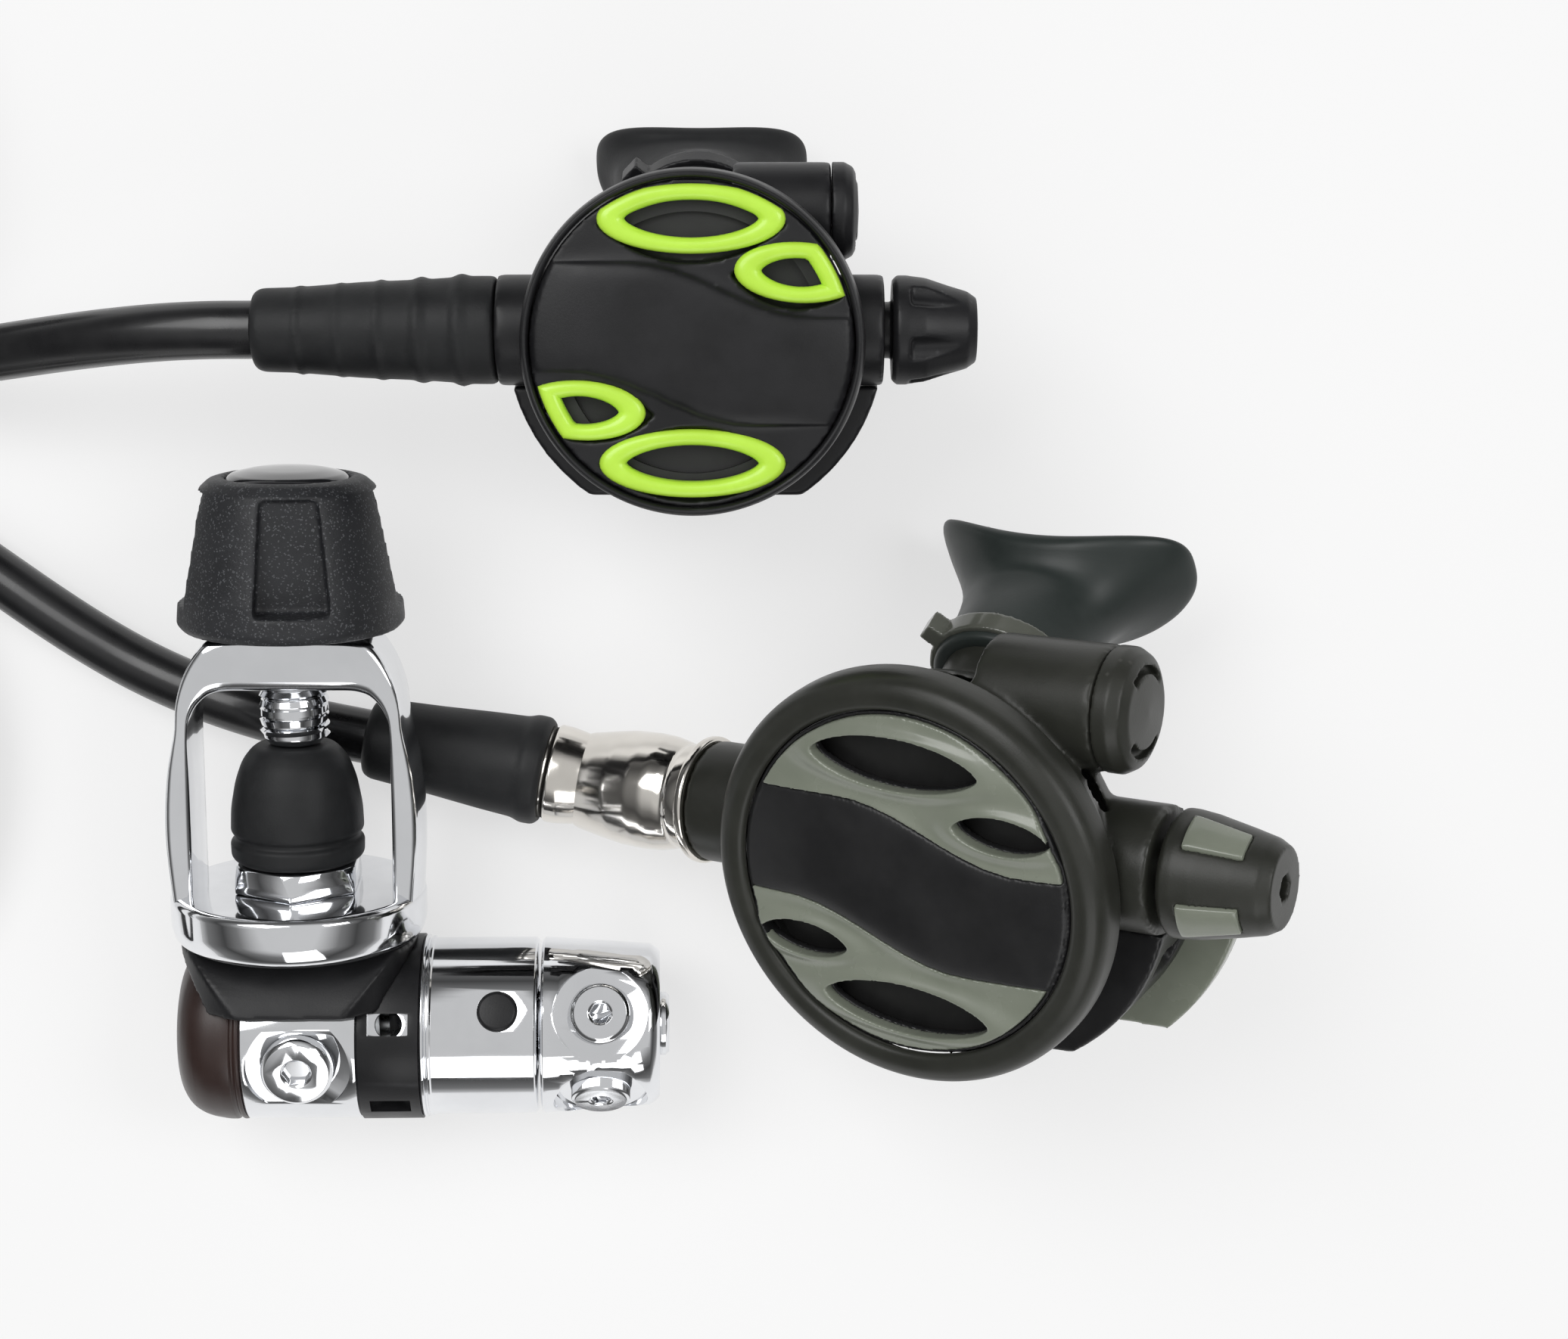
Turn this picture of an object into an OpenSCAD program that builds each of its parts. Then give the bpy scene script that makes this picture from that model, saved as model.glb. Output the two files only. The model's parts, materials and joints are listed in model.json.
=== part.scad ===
// Scuba regulator set: a yoke first stage, a primary second stage with a ball
// swivel, and an alternate second stage, each second stage with its own hose.
// Everything lies on a flat surface, +Z up, in millimetres.

/* [First stage] */
// Radius of the first-stage barrel
barrel_r = 20.4; // [19:0.1:22]
// Radius of the piston sleeve and the wide end of the turret
sleeve_r = 19.7; // [19:0.1:21]
// Radius of the small end of the turret
turret_tip_r = 17.2; // [16.5:0.1:19]
// Length of the rubber end cap
end_cap_l = 15; // [10:0.5:20]
// Length of the full-width part of the body
body_l = 25.5; // [24:0.5:30]
// Width of the black band
band_l = 13.2; // [11:0.1:16]
// Length of the piston sleeve
sleeve_l = 25.6; // [24:0.1:32]
// Length of the turret
turret_l = 26.2; // [24:0.1:32]
// Angle that the yoke is raised from the surface
yoke_rise = 12; // [8:1:14]
// Radius of the piston head
piston_r = 15; // [13:0.1:16]
// Radius of the piston shaft
piston_shaft_r = 5; // [4:0.1:6]
// Radius of the port plug heads on the turret
plug_r = 6.5; // [5.5:0.1:7.5]

/* [Yoke] */
// Outer radius of the yoke at its base
yoke_r = 28; // [27:0.1:30]
// Half width of the window for the cylinder valve
window_half_w = 21.6; // [21:0.1:23]
// Height of the window
window_h = 46; // [42:0.5:52]
// Front-to-back depth of the yoke
yoke_depth = 22; // [19:0.5:26]
// Thickness of the base ring
base_ring_t = 11; // [9:0.5:14]
// Radius of the clamp screw
screw_r = 7.4; // [6:0.1:8]
// Rim radius of the clamp knob
knob_r = 24.4; // [22:0.1:27]
// Top radius of the clamp knob
knob_top_r = 18.2; // [16:0.1:20]
// Height of the clamp knob
knob_h = 33; // [28:0.5:38]
// Across flats of the yoke retainer nut
nut_af = 26; // [24:0.5:28]
// Widest radius of the dust cap
cap_r = 14.6; // [13:0.1:16]

/* [Second stages] */
// Cover ring radius of the alternate second stage
alt_ring_r = 36; // [34:0.5:38]
// Cover ring radius of the primary second stage
main_ring_r = 45; // [43:0.5:47]
// Depth of the cover ring
ring_t = 9; // [8:0.5:12]
// Wall of a second-stage case
case_wall = 2.2; // [2:0.1:3]
// Radius of the tube through the alternate second stage
alt_tube_r = 11.8; // [11:0.1:12.5]
// Radius of the tube through the primary second stage
main_tube_r = 13.4; // [12.5:0.1:14.5]
// Travel of the purge covers
purge_travel = 2.5; // [1.5:0.1:3]
// Radius of the mouthpiece tube
mouth_r = 12.5; // [11.5:0.1:13.5]
// Turn of the mouthpiece tube away from straight back
mouth_lean = 27; // [20:1:34]
// Radius of the breathing bore
breath_r = 8.5; // [7.5:0.1:9.5]
// Running clearance between parts that turn or slide on each other
fit_gap = 0.05; // [0.03:0.01:0.09]

/* [Hoses] */
// Diameter of both low-pressure hoses
hose_d = 12.5; // [11:0.5:14]
// Length of each hose end fitting
fitting_l = 24; // [20:1:30]
// Radius of the plain pin at the end of each fitting
fitting_pin_r = 4.76; // [4:0.01:6]

/* [Hidden] */

$fn = 96;
CHROME = [0.82, 0.83, 0.85];
BLACK = [0.11, 0.11, 0.12];
OLIVE = [0.21, 0.215, 0.2];
SAGE = [0.5, 0.52, 0.46];
LIME = [0.78, 0.98, 0.3];
BROWN = [0.17, 0.11, 0.1];
HOSE = [0.06, 0.06, 0.065];
ALTERNATE = 0; // the two second stages, as s in the modules below
PRIMARY = 1;
seat_gap = 0.3; // gap between pieces that only lie on each other

// Where the three units lie: middle of the set at the origin, its lowest point at Z = 0
set_at = [16.5, -11.72, -0.27];
first_at = [-107.8, -80, 23.4];
first_turn = [yoke_rise, 3, 0];
main_at = [24, -44, 76];
main_turn = [21, -30, -7];
alt_at = [-19, 67, 71];
alt_turn = [10, 0, 0];

// Stations along the barrel, from the yoke axis
body_x0 = -11.5;
cap_x0 = body_x0 - end_cap_l;
body_x1 = body_x0 + body_l;
band_x1 = body_x1 + band_l;
sleeve_x1 = band_x1 + sleeve_l;
turret_x0 = sleeve_x1 + 0.8;
turret_x1 = turret_x0 + turret_l;
spigot_r = 9;
spigot_l = 15;
port_x = turret_x0 + turret_l / 2;
port_flat_r = 16;
spring_x0 = body_x1 - 4;
piston_x0 = band_x1 + 9;
piston_t = 4;

// Stations up the yoke, from the barrel axis
saddle_y0 = 9.5;
neck_r = 11.2;
retainer_r = 8;
ring_y0 = 22;
ring_y1 = ring_y0 + base_ring_t;
window_y1 = ring_y1 + window_h;
arch_y1 = window_y1 + 12;
nut_y1 = ring_y1 + 6;
cap_y0 = nut_y1 + seat_gap;
cap_h = 26;
screw_y0 = cap_y0 + cap_h + seat_gap;
knob_y0 = arch_y1 + 0.4;
knob_y1 = knob_y0 + knob_h;

function ring_r(s) = s == ALTERNATE ? alt_ring_r : main_ring_r;
function tube_r(s) = s == ALTERNATE ? alt_tube_r : main_tube_r;
function grow(s) = ring_r(s) / alt_ring_r;
function panel_r(s) = ring_r(s) - 2.4;
function tube_z(s) = -ring_t - tube_r(s) - 0.3;
function tube_v(s) = 2;
function back_z(s) = tube_z(s) - tube_r(s) - 1;
function inlet_u(s) = -ring_r(s) - (s == ALTERNATE ? 6 : 14);
function knob_u(s) = ring_r(s) + 6;

// ---- helpers -----------------------------------------------------------

module along_x() rotate([0, 90, 0]) children();
module along_y() rotate([-90, 0, 0]) children();

module revolve_x(profile) along_x() rotate_extrude() polygon(profile);
module revolve_y(profile) along_y() rotate_extrude() polygon(profile);

// Revolved ring: outer radius, inner radius, from and to along the axis
module ring(ro, ri, a, b) translate([0, 0, a]) difference() {
    cylinder(r = ro, h = b - a);
    translate([0, 0, -1]) cylinder(r = ri, h = b - a + 2);
}

module socket_plug(r, t, hex_af, shank_r, shank_l) {
    difference() {
        rotate_extrude() polygon([[0, 0], [r, 0], [r, t - 0.8], [r - 0.8, t], [0, t]]);
        translate([0, 0, t - 2.2]) cylinder(r = hex_af / sqrt(3), h = 4, $fn = 6);
        translate([0, 0, t - 0.6]) cylinder(r1 = hex_af / 2, r2 = hex_af / 2 + 1.4, h = 1.2);
    }
    translate([0, 0, -shank_l]) cylinder(r = shank_r, h = shank_l);
}

// Direction from the barrel axis: angle from the yoke towards the front
module port_at(x, angle) translate([x, 0, 0]) rotate([angle, 0, 0]) rotate([-90, 0, 0]) children();

module first() translate(set_at + first_at) rotate(first_turn) children();
module second(s) translate(set_at + (s == ALTERNATE ? alt_at : main_at))
    rotate(s == ALTERNATE ? alt_turn : main_turn) children();

// ---- first stage -------------------------------------------------------

module end_cap() color(BROWN) first() {
    revolve_x([[0, cap_x0], [9, cap_x0], [14, cap_x0 + 0.8], [17.6, cap_x0 + 3], [19.6, cap_x0 + 6.5],
        [barrel_r, cap_x0 + 11], [barrel_r, body_x0 - 0.05], [0, body_x0 - 0.05]]);
}

module main_body() color(CHROME) first() difference() {
    union() {
        revolve_x([[0, body_x0], [barrel_r - 0.5, body_x0], [barrel_r, body_x0 + 0.5],
            [barrel_r, body_x1 - 0.5], [barrel_r - 0.5, body_x1], [piston_r + 2.8, body_x1],
            [piston_r + 2.8, band_x1], [0, band_x1]]);
        along_y() cylinder(r = neck_r, h = ring_y0 - 0.2);
    }
    // high-pressure chamber, shaft bore and spring chamber
    translate([body_x0 + 3, 0, 0]) along_x() cylinder(r = 9, h = 8);
    translate([body_x0 + 5, 0, 0]) along_x() cylinder(r = piston_shaft_r + fit_gap, h = 40);
    translate([spring_x0, 0, 0]) along_x() cylinder(r = piston_r + fit_gap, h = 60);
    // inlet
    along_y() cylinder(r = retainer_r + fit_gap, h = 60);
    // high-pressure ports with their milled seats
    for (a = [99, -99]) {
        port_at(1, a) translate([0, 0, barrel_r - 2.2]) cylinder(r = 11.4, h = 10);
        port_at(1, a) translate([0, 0, 6]) cylinder(r = 4.55, h = 30);
    }
    // water ports under the band
    for (a = [30 : 60 : 330]) port_at((body_x1 + band_x1) / 2, a + 40)
        translate([0, 0, 12]) cylinder(r = 3, h = 10);
}

module body_plugs() color(CHROME) first()
    for (a = [99, -99]) port_at(1, a) translate([0, 0, barrel_r - 2.15])
        socket_plug(7.8, 3.4, 5.5, 4.5, 7);

module ambient_band() color(BLACK) first() difference() {
    translate([body_x1 + 0.05, 0, 0]) along_x() ring(barrel_r + 0.2, piston_r + 2.85, 0, band_l - 0.1);
    // windows over the water ports
    for (a = [30 : 60 : 330]) port_at((body_x1 + band_x1) / 2, a + 40)
        translate([-4.4, -2.4, 12]) cube([8.8, 4.8, 20]);
}

module piston_sleeve() color(CHROME) first() difference() {
    revolve_x([[0, band_x1 + 0.05], [barrel_r - 0.4, band_x1 + 0.05], [barrel_r, band_x1 + 0.5],
        [barrel_r, band_x1 + 1], [sleeve_r, band_x1 + 1.2], [sleeve_r, band_x1 + 1.6],
        [sleeve_r + 0.4, band_x1 + 1.8], [sleeve_r + 0.4, band_x1 + 2.3], [sleeve_r, band_x1 + 2.6],
        [sleeve_r, sleeve_x1 - 0.6], [sleeve_r - 0.6, sleeve_x1], [spigot_r, sleeve_x1],
        [spigot_r, turret_x0 + spigot_l], [0, turret_x0 + spigot_l]]);
    translate([band_x1 - 1, 0, 0]) along_x() cylinder(r = piston_r + fit_gap, h = sleeve_l - 4);
    translate([band_x1, 0, 0]) along_x() cylinder(r = 6, h = 80);
    port_at(sleeve_x1 - 8.5, 62) translate([0, 0, sleeve_r - 1.6]) cylinder(r = 4.45, h = 4);
}

module sleeve_plug() color(BLACK) first()
    port_at(sleeve_x1 - 8.5, 62) translate([0, 0, sleeve_r - 1.55])
        rotate_extrude() polygon([[0, 0], [4.4, 0], [4.4, 1.6], [3.8, 2.1], [0, 2.1]]);

module turret() color(CHROME) first() difference() {
    revolve_x([[0, turret_x0], [sleeve_r - 0.6, turret_x0], [sleeve_r, turret_x0 + 0.6],
        [turret_tip_r + 0.9, turret_x1 - 2.2], [turret_tip_r, turret_x1 - 0.8],
        [turret_tip_r - 0.9, turret_x1], [0, turret_x1]]);
    translate([turret_x0 - 1, 0, 0]) along_x() cylinder(r = spigot_r + fit_gap, h = spigot_l + 2.2);
    translate([turret_x0, 0, 0]) along_x() cylinder(r = 4.6, h = turret_l + 1);
    for (k = [0 : 3]) port_at(port_x, port_angle(k)) {
        translate([0, 0, port_flat_r]) cylinder(r = 10.4, h = 10);
        cylinder(r = 4.6, h = 30);
    }
}

function port_angle(k) = 63 + k * 72;

module turret_plugs() color(CHROME) first()
    for (k = [0 : 3]) port_at(port_x, port_angle(k)) translate([0, 0, port_flat_r + 0.05])
        socket_plug(plug_r, 2.8, 4.2, 4.5, 5.5);

module turret_end_plug() color(CHROME) first() translate([turret_x1 + 0.05, 0, 0]) along_x()
    socket_plug(plug_r + 0.6, 2.1, 4.2, 4.5, 6);

module piston() color(CHROME) first() difference() {
    revolve_x([[0, body_x0 + 8], [piston_shaft_r - 1, body_x0 + 8], [piston_shaft_r, body_x0 + 9],
        [piston_shaft_r, piston_x0], [piston_r, piston_x0], [piston_r, piston_x0 + piston_t],
        [0, piston_x0 + piston_t]]);
    translate([body_x0, 0, 0]) along_x() cylinder(r = 2, h = 80);
}

spring_wire_r = 1.3;
spring_r = piston_r - 4;
spring_turns = 5;
module main_spring() color(CHROME) first()
    sweep([for (i = [0 : spring_turns * 12]) let (a = i * 30)
        [spring_x0 + 1.5 + (piston_x0 - spring_x0 - 3.6) * i / (spring_turns * 12),
         spring_r * cos(a), spring_r * sin(a)]], spring_wire_r, 6);

module seat() color(BLACK) first() translate([body_x0 + 3.05, 0, 0]) along_x()
    cylinder(r = 6.5, h = 3.6);

module saddle() color(BLACK) first() difference() {
    intersection() {
        along_y() cylinder(r = yoke_r - 2, h = ring_y0 - 0.1);
        translate([cap_x0 - 20, 0, 0]) along_x() cylinder(r = barrel_r + 5, h = 120);
        translate([-60, saddle_y0, -60]) cube(120);
    }
    translate([cap_x0 - 20, 0, 0]) along_x() cylinder(r = barrel_r + 0.2, h = 120);
    along_y() cylinder(r = neck_r + 0.1, h = 60);
}

module yoke_window() translate([0, 0, -60]) {
    corner = 9;
    translate([-window_half_w, ring_y1, 0]) cube([2 * window_half_w, window_h - corner, 120]);
    translate([-window_half_w + corner, ring_y1, 0]) cube([2 * (window_half_w - corner), window_h, 120]);
    for (side = [-1, 1]) translate([side * (window_half_w - corner), window_y1 - corner, 0])
        cylinder(r = corner, h = 120);
}

module yoke() color(CHROME) first() difference() {
    union() {
        intersection() {
            revolve_y([[0, ring_y1 - 1], [yoke_r, ring_y1 - 1], [yoke_r + 0.6, ring_y1 + 16],
                [yoke_r - 0.6, ring_y1 + 28], [yoke_r - 2.6, ring_y1 + 38], [yoke_r - 5.2, ring_y1 + 48],
                [yoke_r - 8, arch_y1 - 3], [yoke_r - 10.5, arch_y1], [0, arch_y1]]);
            translate([-60, 0, -yoke_depth / 2]) cube([120, 200, yoke_depth]);
        }
        revolve_y([[0, ring_y0], [yoke_r - 2.2, ring_y0], [yoke_r - 0.6, ring_y0 + 1.4],
            [yoke_r, ring_y0 + 4], [yoke_r, ring_y1 - 1], [yoke_r - 1, ring_y1], [0, ring_y1]]);
    }
    yoke_window();
    // bore for the retainer and the screw
    along_y() cylinder(r = 11.05, h = ring_y1 + 5);
    translate([0, ring_y1, 0]) along_y() cylinder(r = screw_r + fit_gap, h = 120);
}

module yoke_nut() color(CHROME) first() difference() {
    union() {
        translate([0, ring_y1 + 0.05, 0]) along_y() rotate([0, 0, 30]) intersection() {
            cylinder(r = nut_af / sqrt(3), h = 6, $fn = 6);
            cylinder(r1 = nut_af / 2 + 2.2, r2 = nut_af / 2 + 0.8, h = 6);
        }
        along_y() translate([0, 0, 12]) cylinder(r = retainer_r, h = 20);
        along_y() translate([0, 0, ring_y0]) cylinder(r = 11, h = base_ring_t + 0.5);
    }
    along_y() cylinder(r = 4.6, h = 80);
}

module inlet_filter() color([0.7, 0.6, 0.4]) first() translate([0, nut_y1 - 5, 0]) along_y()
    cylinder(r1 = 3.2, r2 = 4.55, h = 4);

module dust_cap() color(BLACK) first() revolve_y([[0, cap_y0], [cap_r - 1.2, cap_y0],
    [cap_r - 0.2, cap_y0 + 2], [cap_r, cap_y0 + 6], [cap_r - 0.3, cap_y0 + 12], [cap_r - 1.4, cap_y0 + 18],
    [cap_r - 3, cap_y0 + 22.5], [cap_r - 5, cap_y0 + cap_h - 1], [cap_r - 6.4, cap_y0 + cap_h],
    [0, cap_y0 + cap_h]]);

module yoke_screw() color(CHROME) first() translate([0, screw_y0, 0]) along_y()
    rotate_extrude() polygon([[0, 0], [screw_r - 1, 0], [screw_r, 1], [screw_r, knob_y0 + 16 - screw_y0],
        [0, knob_y0 + 16 - screw_y0]]);

module yoke_knob() color(BLACK) first() difference() {
    revolve_y([[0, knob_y0], [knob_r - 1.4, knob_y0], [knob_r, knob_y0 + 1.6], [knob_r - 0.5, knob_y0 + 8],
        [knob_r - 2.4, knob_y0 + 17], [knob_top_r + 2, knob_y1 - 7], [knob_top_r + 0.6, knob_y1 - 2.4],
        [knob_top_r - 1.4, knob_y1 - 0.6], [knob_top_r - 3.6, knob_y1], [0, knob_y1]]);
    // hollow skirt, screw socket and the seat of the insert
    translate([0, knob_y0 - 1, 0]) along_y() cylinder(r = knob_r - 3, h = 5);
    translate([0, knob_y0 - 1, 0]) along_y() cylinder(r = screw_r + fit_gap, h = 17.1);
    translate([0, knob_y1 - 2, 0]) along_y() cylinder(r = 13.4, h = 10);
    // finger recesses
    for (k = [0 : 3]) rotate([0, 45 + k * 90 - 37, 0]) translate([0, knob_y0 + 6, knob_top_r - 1.2])
        linear_extrude(20) polygon([[-8, 0], [8, 0], [6, knob_h - 9], [-6, knob_h - 9]]);
}

module knob_insert() color(BLACK) first() translate([0, knob_y1 - 1.95, 0]) along_y()
    rotate_extrude() polygon([[0, 0], [13.3, 0], [13.3, 1.6], [12, 2.6], [8, 3.3], [0, 3.6]]);

// ---- second stages, in their own frame: knob +X, mouthpiece +Y, cover +Z ---

module to_tube(s) translate([0, tube_v(s), tube_z(s)]) children();
module to_mouth(s) translate([0, 12 * grow(s), tube_z(s)]) rotate([180 + mouth_lean, 0, 0])
    rotate([0, 0, 180]) children();

mouth_l0 = 17;
mouth_l1 = 30;

// Bowl under the cover ring, or with a gap the space that it takes from its neighbours
module bowl(s, gap) translate([0, 0, back_z(s)]) rotate_extrude() polygon([[0, -gap],
    [ring_r(s) * 0.5 + gap, -gap], [ring_r(s) * 0.72 + gap, 3.5 - gap], [ring_r(s) - 7 + gap, 10],
    [ring_r(s) - 3 + gap, -back_z(s) - ring_t - 0.1], [0, -back_z(s) - ring_t - 0.1]]);

// Dome that rises into the mouthpiece tube, or with a gap the space that it takes
module dome(s, gap) hull() {
    translate([0, 6 * grow(s), back_z(s) + 4]) cylinder(r = ring_r(s) * 0.62 + gap, h = 12, $fn = 32);
    to_mouth(s) translate([0, 0, 8 * grow(s)]) cylinder(r = mouth_r + 4 + gap, h = 4, $fn = 32);
}

module case_shape(s) {
    g = grow(s);
    bowl(s, 0);
    dome(s, 0);
    to_mouth(s) cylinder(r = mouth_r, h = mouth_l1 * g);
    // tube across the case
    to_tube(s) translate([inlet_u(s), 0, 0]) along_x()
        cylinder(r = tube_r(s), h = knob_u(s) - inlet_u(s) - 1.8);
    // side cylinder beside the mouthpiece tube
    translate([8 * g, 27 * g, tube_z(s) - 4]) along_x() cylinder(r = 10.4 * g, h = 21 * g);
}

module second_case(s) difference() {
    case_shape(s);
    // inside of the bowl
    translate([0, 0, back_z(s) + 3]) rotate_extrude() polygon([[0, 0], [ring_r(s) * 0.5, 0],
        [ring_r(s) - 9, 8], [ring_r(s) - 3 - case_wall, 14], [ring_r(s) - 3 - case_wall, 60], [0, 60]]);
    // breathing bore
    to_mouth(s) cylinder(r = breath_r, h = 60 * grow(s));
    // bores of the orifice tube and of the knob shaft
    to_tube(s) translate([inlet_u(s) - 1, 0, 0]) along_x() cylinder(r = 6.05, h = 200);
    // hole under the exhaust valve
    translate([0, -14 * grow(s), back_z(s) - 1]) cylinder(r = 6.4, h = 8);
}

module second_ring(s) {
    r = ring_r(s);
    rotate_extrude() polygon([[panel_r(s) + 0.3, -ring_t], [panel_r(s) + 0.3, -0.7], [panel_r(s) + 0.8, 0],
        [r - 1, -0.3], [r - 0.2, -1.6], [r, -3.4], [r, -ring_t + 1], [r - 0.8, -ring_t]]);
}

// Undersides of the purge panel and of the diaphragm, which hangs a full travel below it
panel_z = -3.4;
diaphragm_z = panel_z - purge_travel - 0.7;

// Lens shape of width w and height h, from two arcs
module lens(w, h) {
    rho = (w * w / 4 + h * h / 4) / h;
    intersection() {
        translate([0, h / 2 - rho]) circle(r = rho);
        translate([0, rho - h / 2]) circle(r = rho);
    }
}

// Places of the four openings: [middle, outer size, opening size, turn]
function eyes(s) = let (g = grow(s)) [
    [[0, 24.3 * g], [39 * g, 15.4 * g], [26.5 * g, 6.6 * g], 0],
    [[21.5 * g, 13.4 * g], [27 * g, 12.4 * g], [15 * g, 5.4 * g], -3],
    [[0, -24.9 * g], [39 * g, 15.4 * g], [26.5 * g, 6.6 * g], 0],
    [[-21.5 * g, -14 * g], [27 * g, 12.4 * g], [15 * g, 5.4 * g], -3]
];

// Height of the upper step across the cover, at u, for a ring of radius r
function wave(u, r) = r * (0.30 + 0.155 * cos(180 * min(1, max(0, (u / r + 0.35) / 1.05))));

module wave_field(s) polygon(concat(
    [for (i = [0 : 16]) let (u = panel_r(s) * (i / 8 - 1) * 1.05) [u, wave(u, ring_r(s))]],
    [[panel_r(s) * 1.05, 60], [-panel_r(s) * 1.05, 60]]));

module eye_holes(s, which, k) for (i = which) let (e = eyes(s)[i])
    translate(e[0]) rotate(e[3]) lens(e[k][0], e[k][1]);

module insert_outline(s) {
    if (s == ALTERNATE) intersection() {
        circle(r = panel_r(s) - 1);
        eye_holes(s, [0 : 3], 1);
    } else intersection() {
        circle(r = panel_r(s) - 1);
        union() {
            wave_field(s);
            rotate(180) wave_field(s);
        }
    }
}

module second_panel(s) translate([0, 0, panel_z]) difference() {
    union() {
        linear_extrude(3) circle(r = panel_r(s));
        // gently raised wave between the steps
        linear_extrude(3.5) difference() {
            circle(r = panel_r(s) - 1);
            wave_field(s);
            rotate(180) wave_field(s);
        }
    }
    translate([0, 0, 1.2]) linear_extrude(9) insert_outline(s);
    translate([0, 0, -1]) linear_extrude(9) eye_holes(s, [0 : 3], 2);
}

module second_inserts(s) translate([0, 0, panel_z + 1.25])
    linear_extrude(s == ALTERNATE ? 2.9 : 2.4) difference() {
        insert_outline(s);
        eye_holes(s, [0 : 3], 2);
    }

module second_diaphragm(s) translate([0, 0, diaphragm_z]) {
    cylinder(r = ring_r(s) - 6.5, h = 1.2);
    ring(ring_r(s) - 6.5, ring_r(s) - 9, 0.6, panel_z - fit_gap - diaphragm_z);
    cylinder(r = 9, h = 1.8);
}

// Lever: a fork on the orifice tube whose tip rests under the diaphragm
lever_l = 13;
function lever_z(s) = tube_z(s) + 8.4;
module second_lever(s) {
    tip_z = diaphragm_z - seat_gap;
    translate([-1.8, tube_v(s), lever_z(s) - 0.6]) cube([3.6, lever_l, 1.2]);
    translate([0, tube_v(s) + lever_l - 1.8, lever_z(s)])
        cylinder(r = 1.8, h = tip_z - lever_z(s));
    translate([-4, tube_v(s), lever_z(s)]) along_x() cylinder(r = 1, h = 8);
}

module second_orifice_tube(s) to_tube(s) difference() {
    union() {
        translate([inlet_u(s) + 1, 0, 0]) along_x() cylinder(r = 6, h = 24 - inlet_u(s));
        // saddle that carries the lever
        translate([-5, -1.5, 5]) cube([10, 3, 2.2]);
    }
    translate([inlet_u(s), 0, 0]) along_x() cylinder(r = 3.55, h = 200);
    // slot for the lever's feet
    translate([4, -8, -1.4]) cube([6, 16, 2.8]);
}

module second_poppet(s) to_tube(s) translate([-12, 0, 0]) along_x() cylinder(r = 3.5, h = 26);

// The flange bends round the teeth: its ends reach away from the case
function flange_z(s) = (mouth_l0 + 24) * grow(s) + 6;
flange_t = 3.2;
flange_bend_r = 36;
module second_mouthpiece(s) {
    g = grow(s);
    neck_z = mouth_l0 * g + 6;
    difference() {
        union() {
            to_mouth(s) translate([0, 0, neck_z]) cylinder(r = mouth_r + 2.6, h = flange_z(s) - neck_z + 2);
            to_mouth(s) intersection() {
                translate([0, 40, flange_z(s) + flange_bend_r * g]) rotate([90, 0, 0])
                    ring(flange_bend_r * g, flange_bend_r * g - flange_t, 0, 80);
                mouth_oval(s);
            }
        }
        to_mouth(s) translate([0, 0, -5]) cylinder(r = mouth_r + fit_gap, h = mouth_l1 * g + 5.3);
        to_mouth(s) cylinder(r = breath_r, h = 90 * g);
    }
    // bite tabs, each standing on the flange
    for (side = [-1, 1]) to_mouth(s)
        translate([side * 16 * g - 3, -5, flange_z(s) + 5.2 * g]) cube([6, 10, 9 * g]);
}

// Rounded oval that limits the flange, a column along the tube
module mouth_oval(s) {
    g = grow(s);
    hw = 24 * g;
    hh = 10.5 * g;
    top = flange_z(s) + 14 * g;
    for (side = [-1, 1]) translate([side * (hw - hh), 0, 0]) cylinder(r = hh, h = top);
    translate([-hw + hh, -hh, 0]) cube([2 * (hw - hh), 2 * hh, top]);
}

module second_tie(s) to_mouth(s) {
    ring(mouth_r + 4.2, mouth_r + 2.65, mouth_l0 * grow(s) + 7.5, mouth_l0 * grow(s) + 12.5);
    rotate([0, 0, -48]) translate([-2.5, mouth_r + 3.2, mouth_l0 * grow(s) + 7.5]) cube([5, 4.4, 5]);
}

module tee_outline(s, grow_out) intersection() {
    difference() {
        circle(r = ring_r(s) + grow_out);
        circle(r = ring_r(s) - 12);
    }
    translate([-100, -ring_r(s) * 0.93]) square([200, ring_r(s) * 0.93 - 9]);
}

module second_tee(s) difference() {
    union() {
        translate([0, 0, back_z(s) - 2.5]) linear_extrude(16 * grow(s))
            tee_outline(s, s == ALTERNATE ? 4.5 : 5);
        // floor that covers the exhaust valve
        translate([0, -14 * grow(s), back_z(s) - 4]) cylinder(r = 13, h = 3.8);
    }
    bowl(s, 0.15);
    dome(s, 0.15);
    to_tube(s) translate([-100, 0, 0]) along_x() cylinder(r = tube_r(s) + 0.15, h = 200);
    translate([0, -14 * grow(s), back_z(s) - 2.6]) cylinder(r = 10.5, h = 20);
    // exhaust mouths at both ends
    for (side = [-1, 1]) translate([side * (ring_r(s) - 1), -15 * grow(s), back_z(s) - 2.5 + 8 * grow(s)])
        rotate([90, 0, side * 20]) translate([-2.6, -5, -13]) cube([5.2, 10, 26]);
}

module second_deflectors(s) translate([0, 0, back_z(s) - 2.5 - 0.05]) {
    mirror([0, 0, 1]) linear_extrude(4.5) difference() {
        intersection() {
            circle(r = ring_r(s) + 14);
            translate([-100, -ring_r(s) * 0.95]) square([200, ring_r(s) * 0.95 - 4]);
        }
        circle(r = ring_r(s) - 8);
        translate([-20, -100]) square([40, 100]);
    }
}

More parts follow.
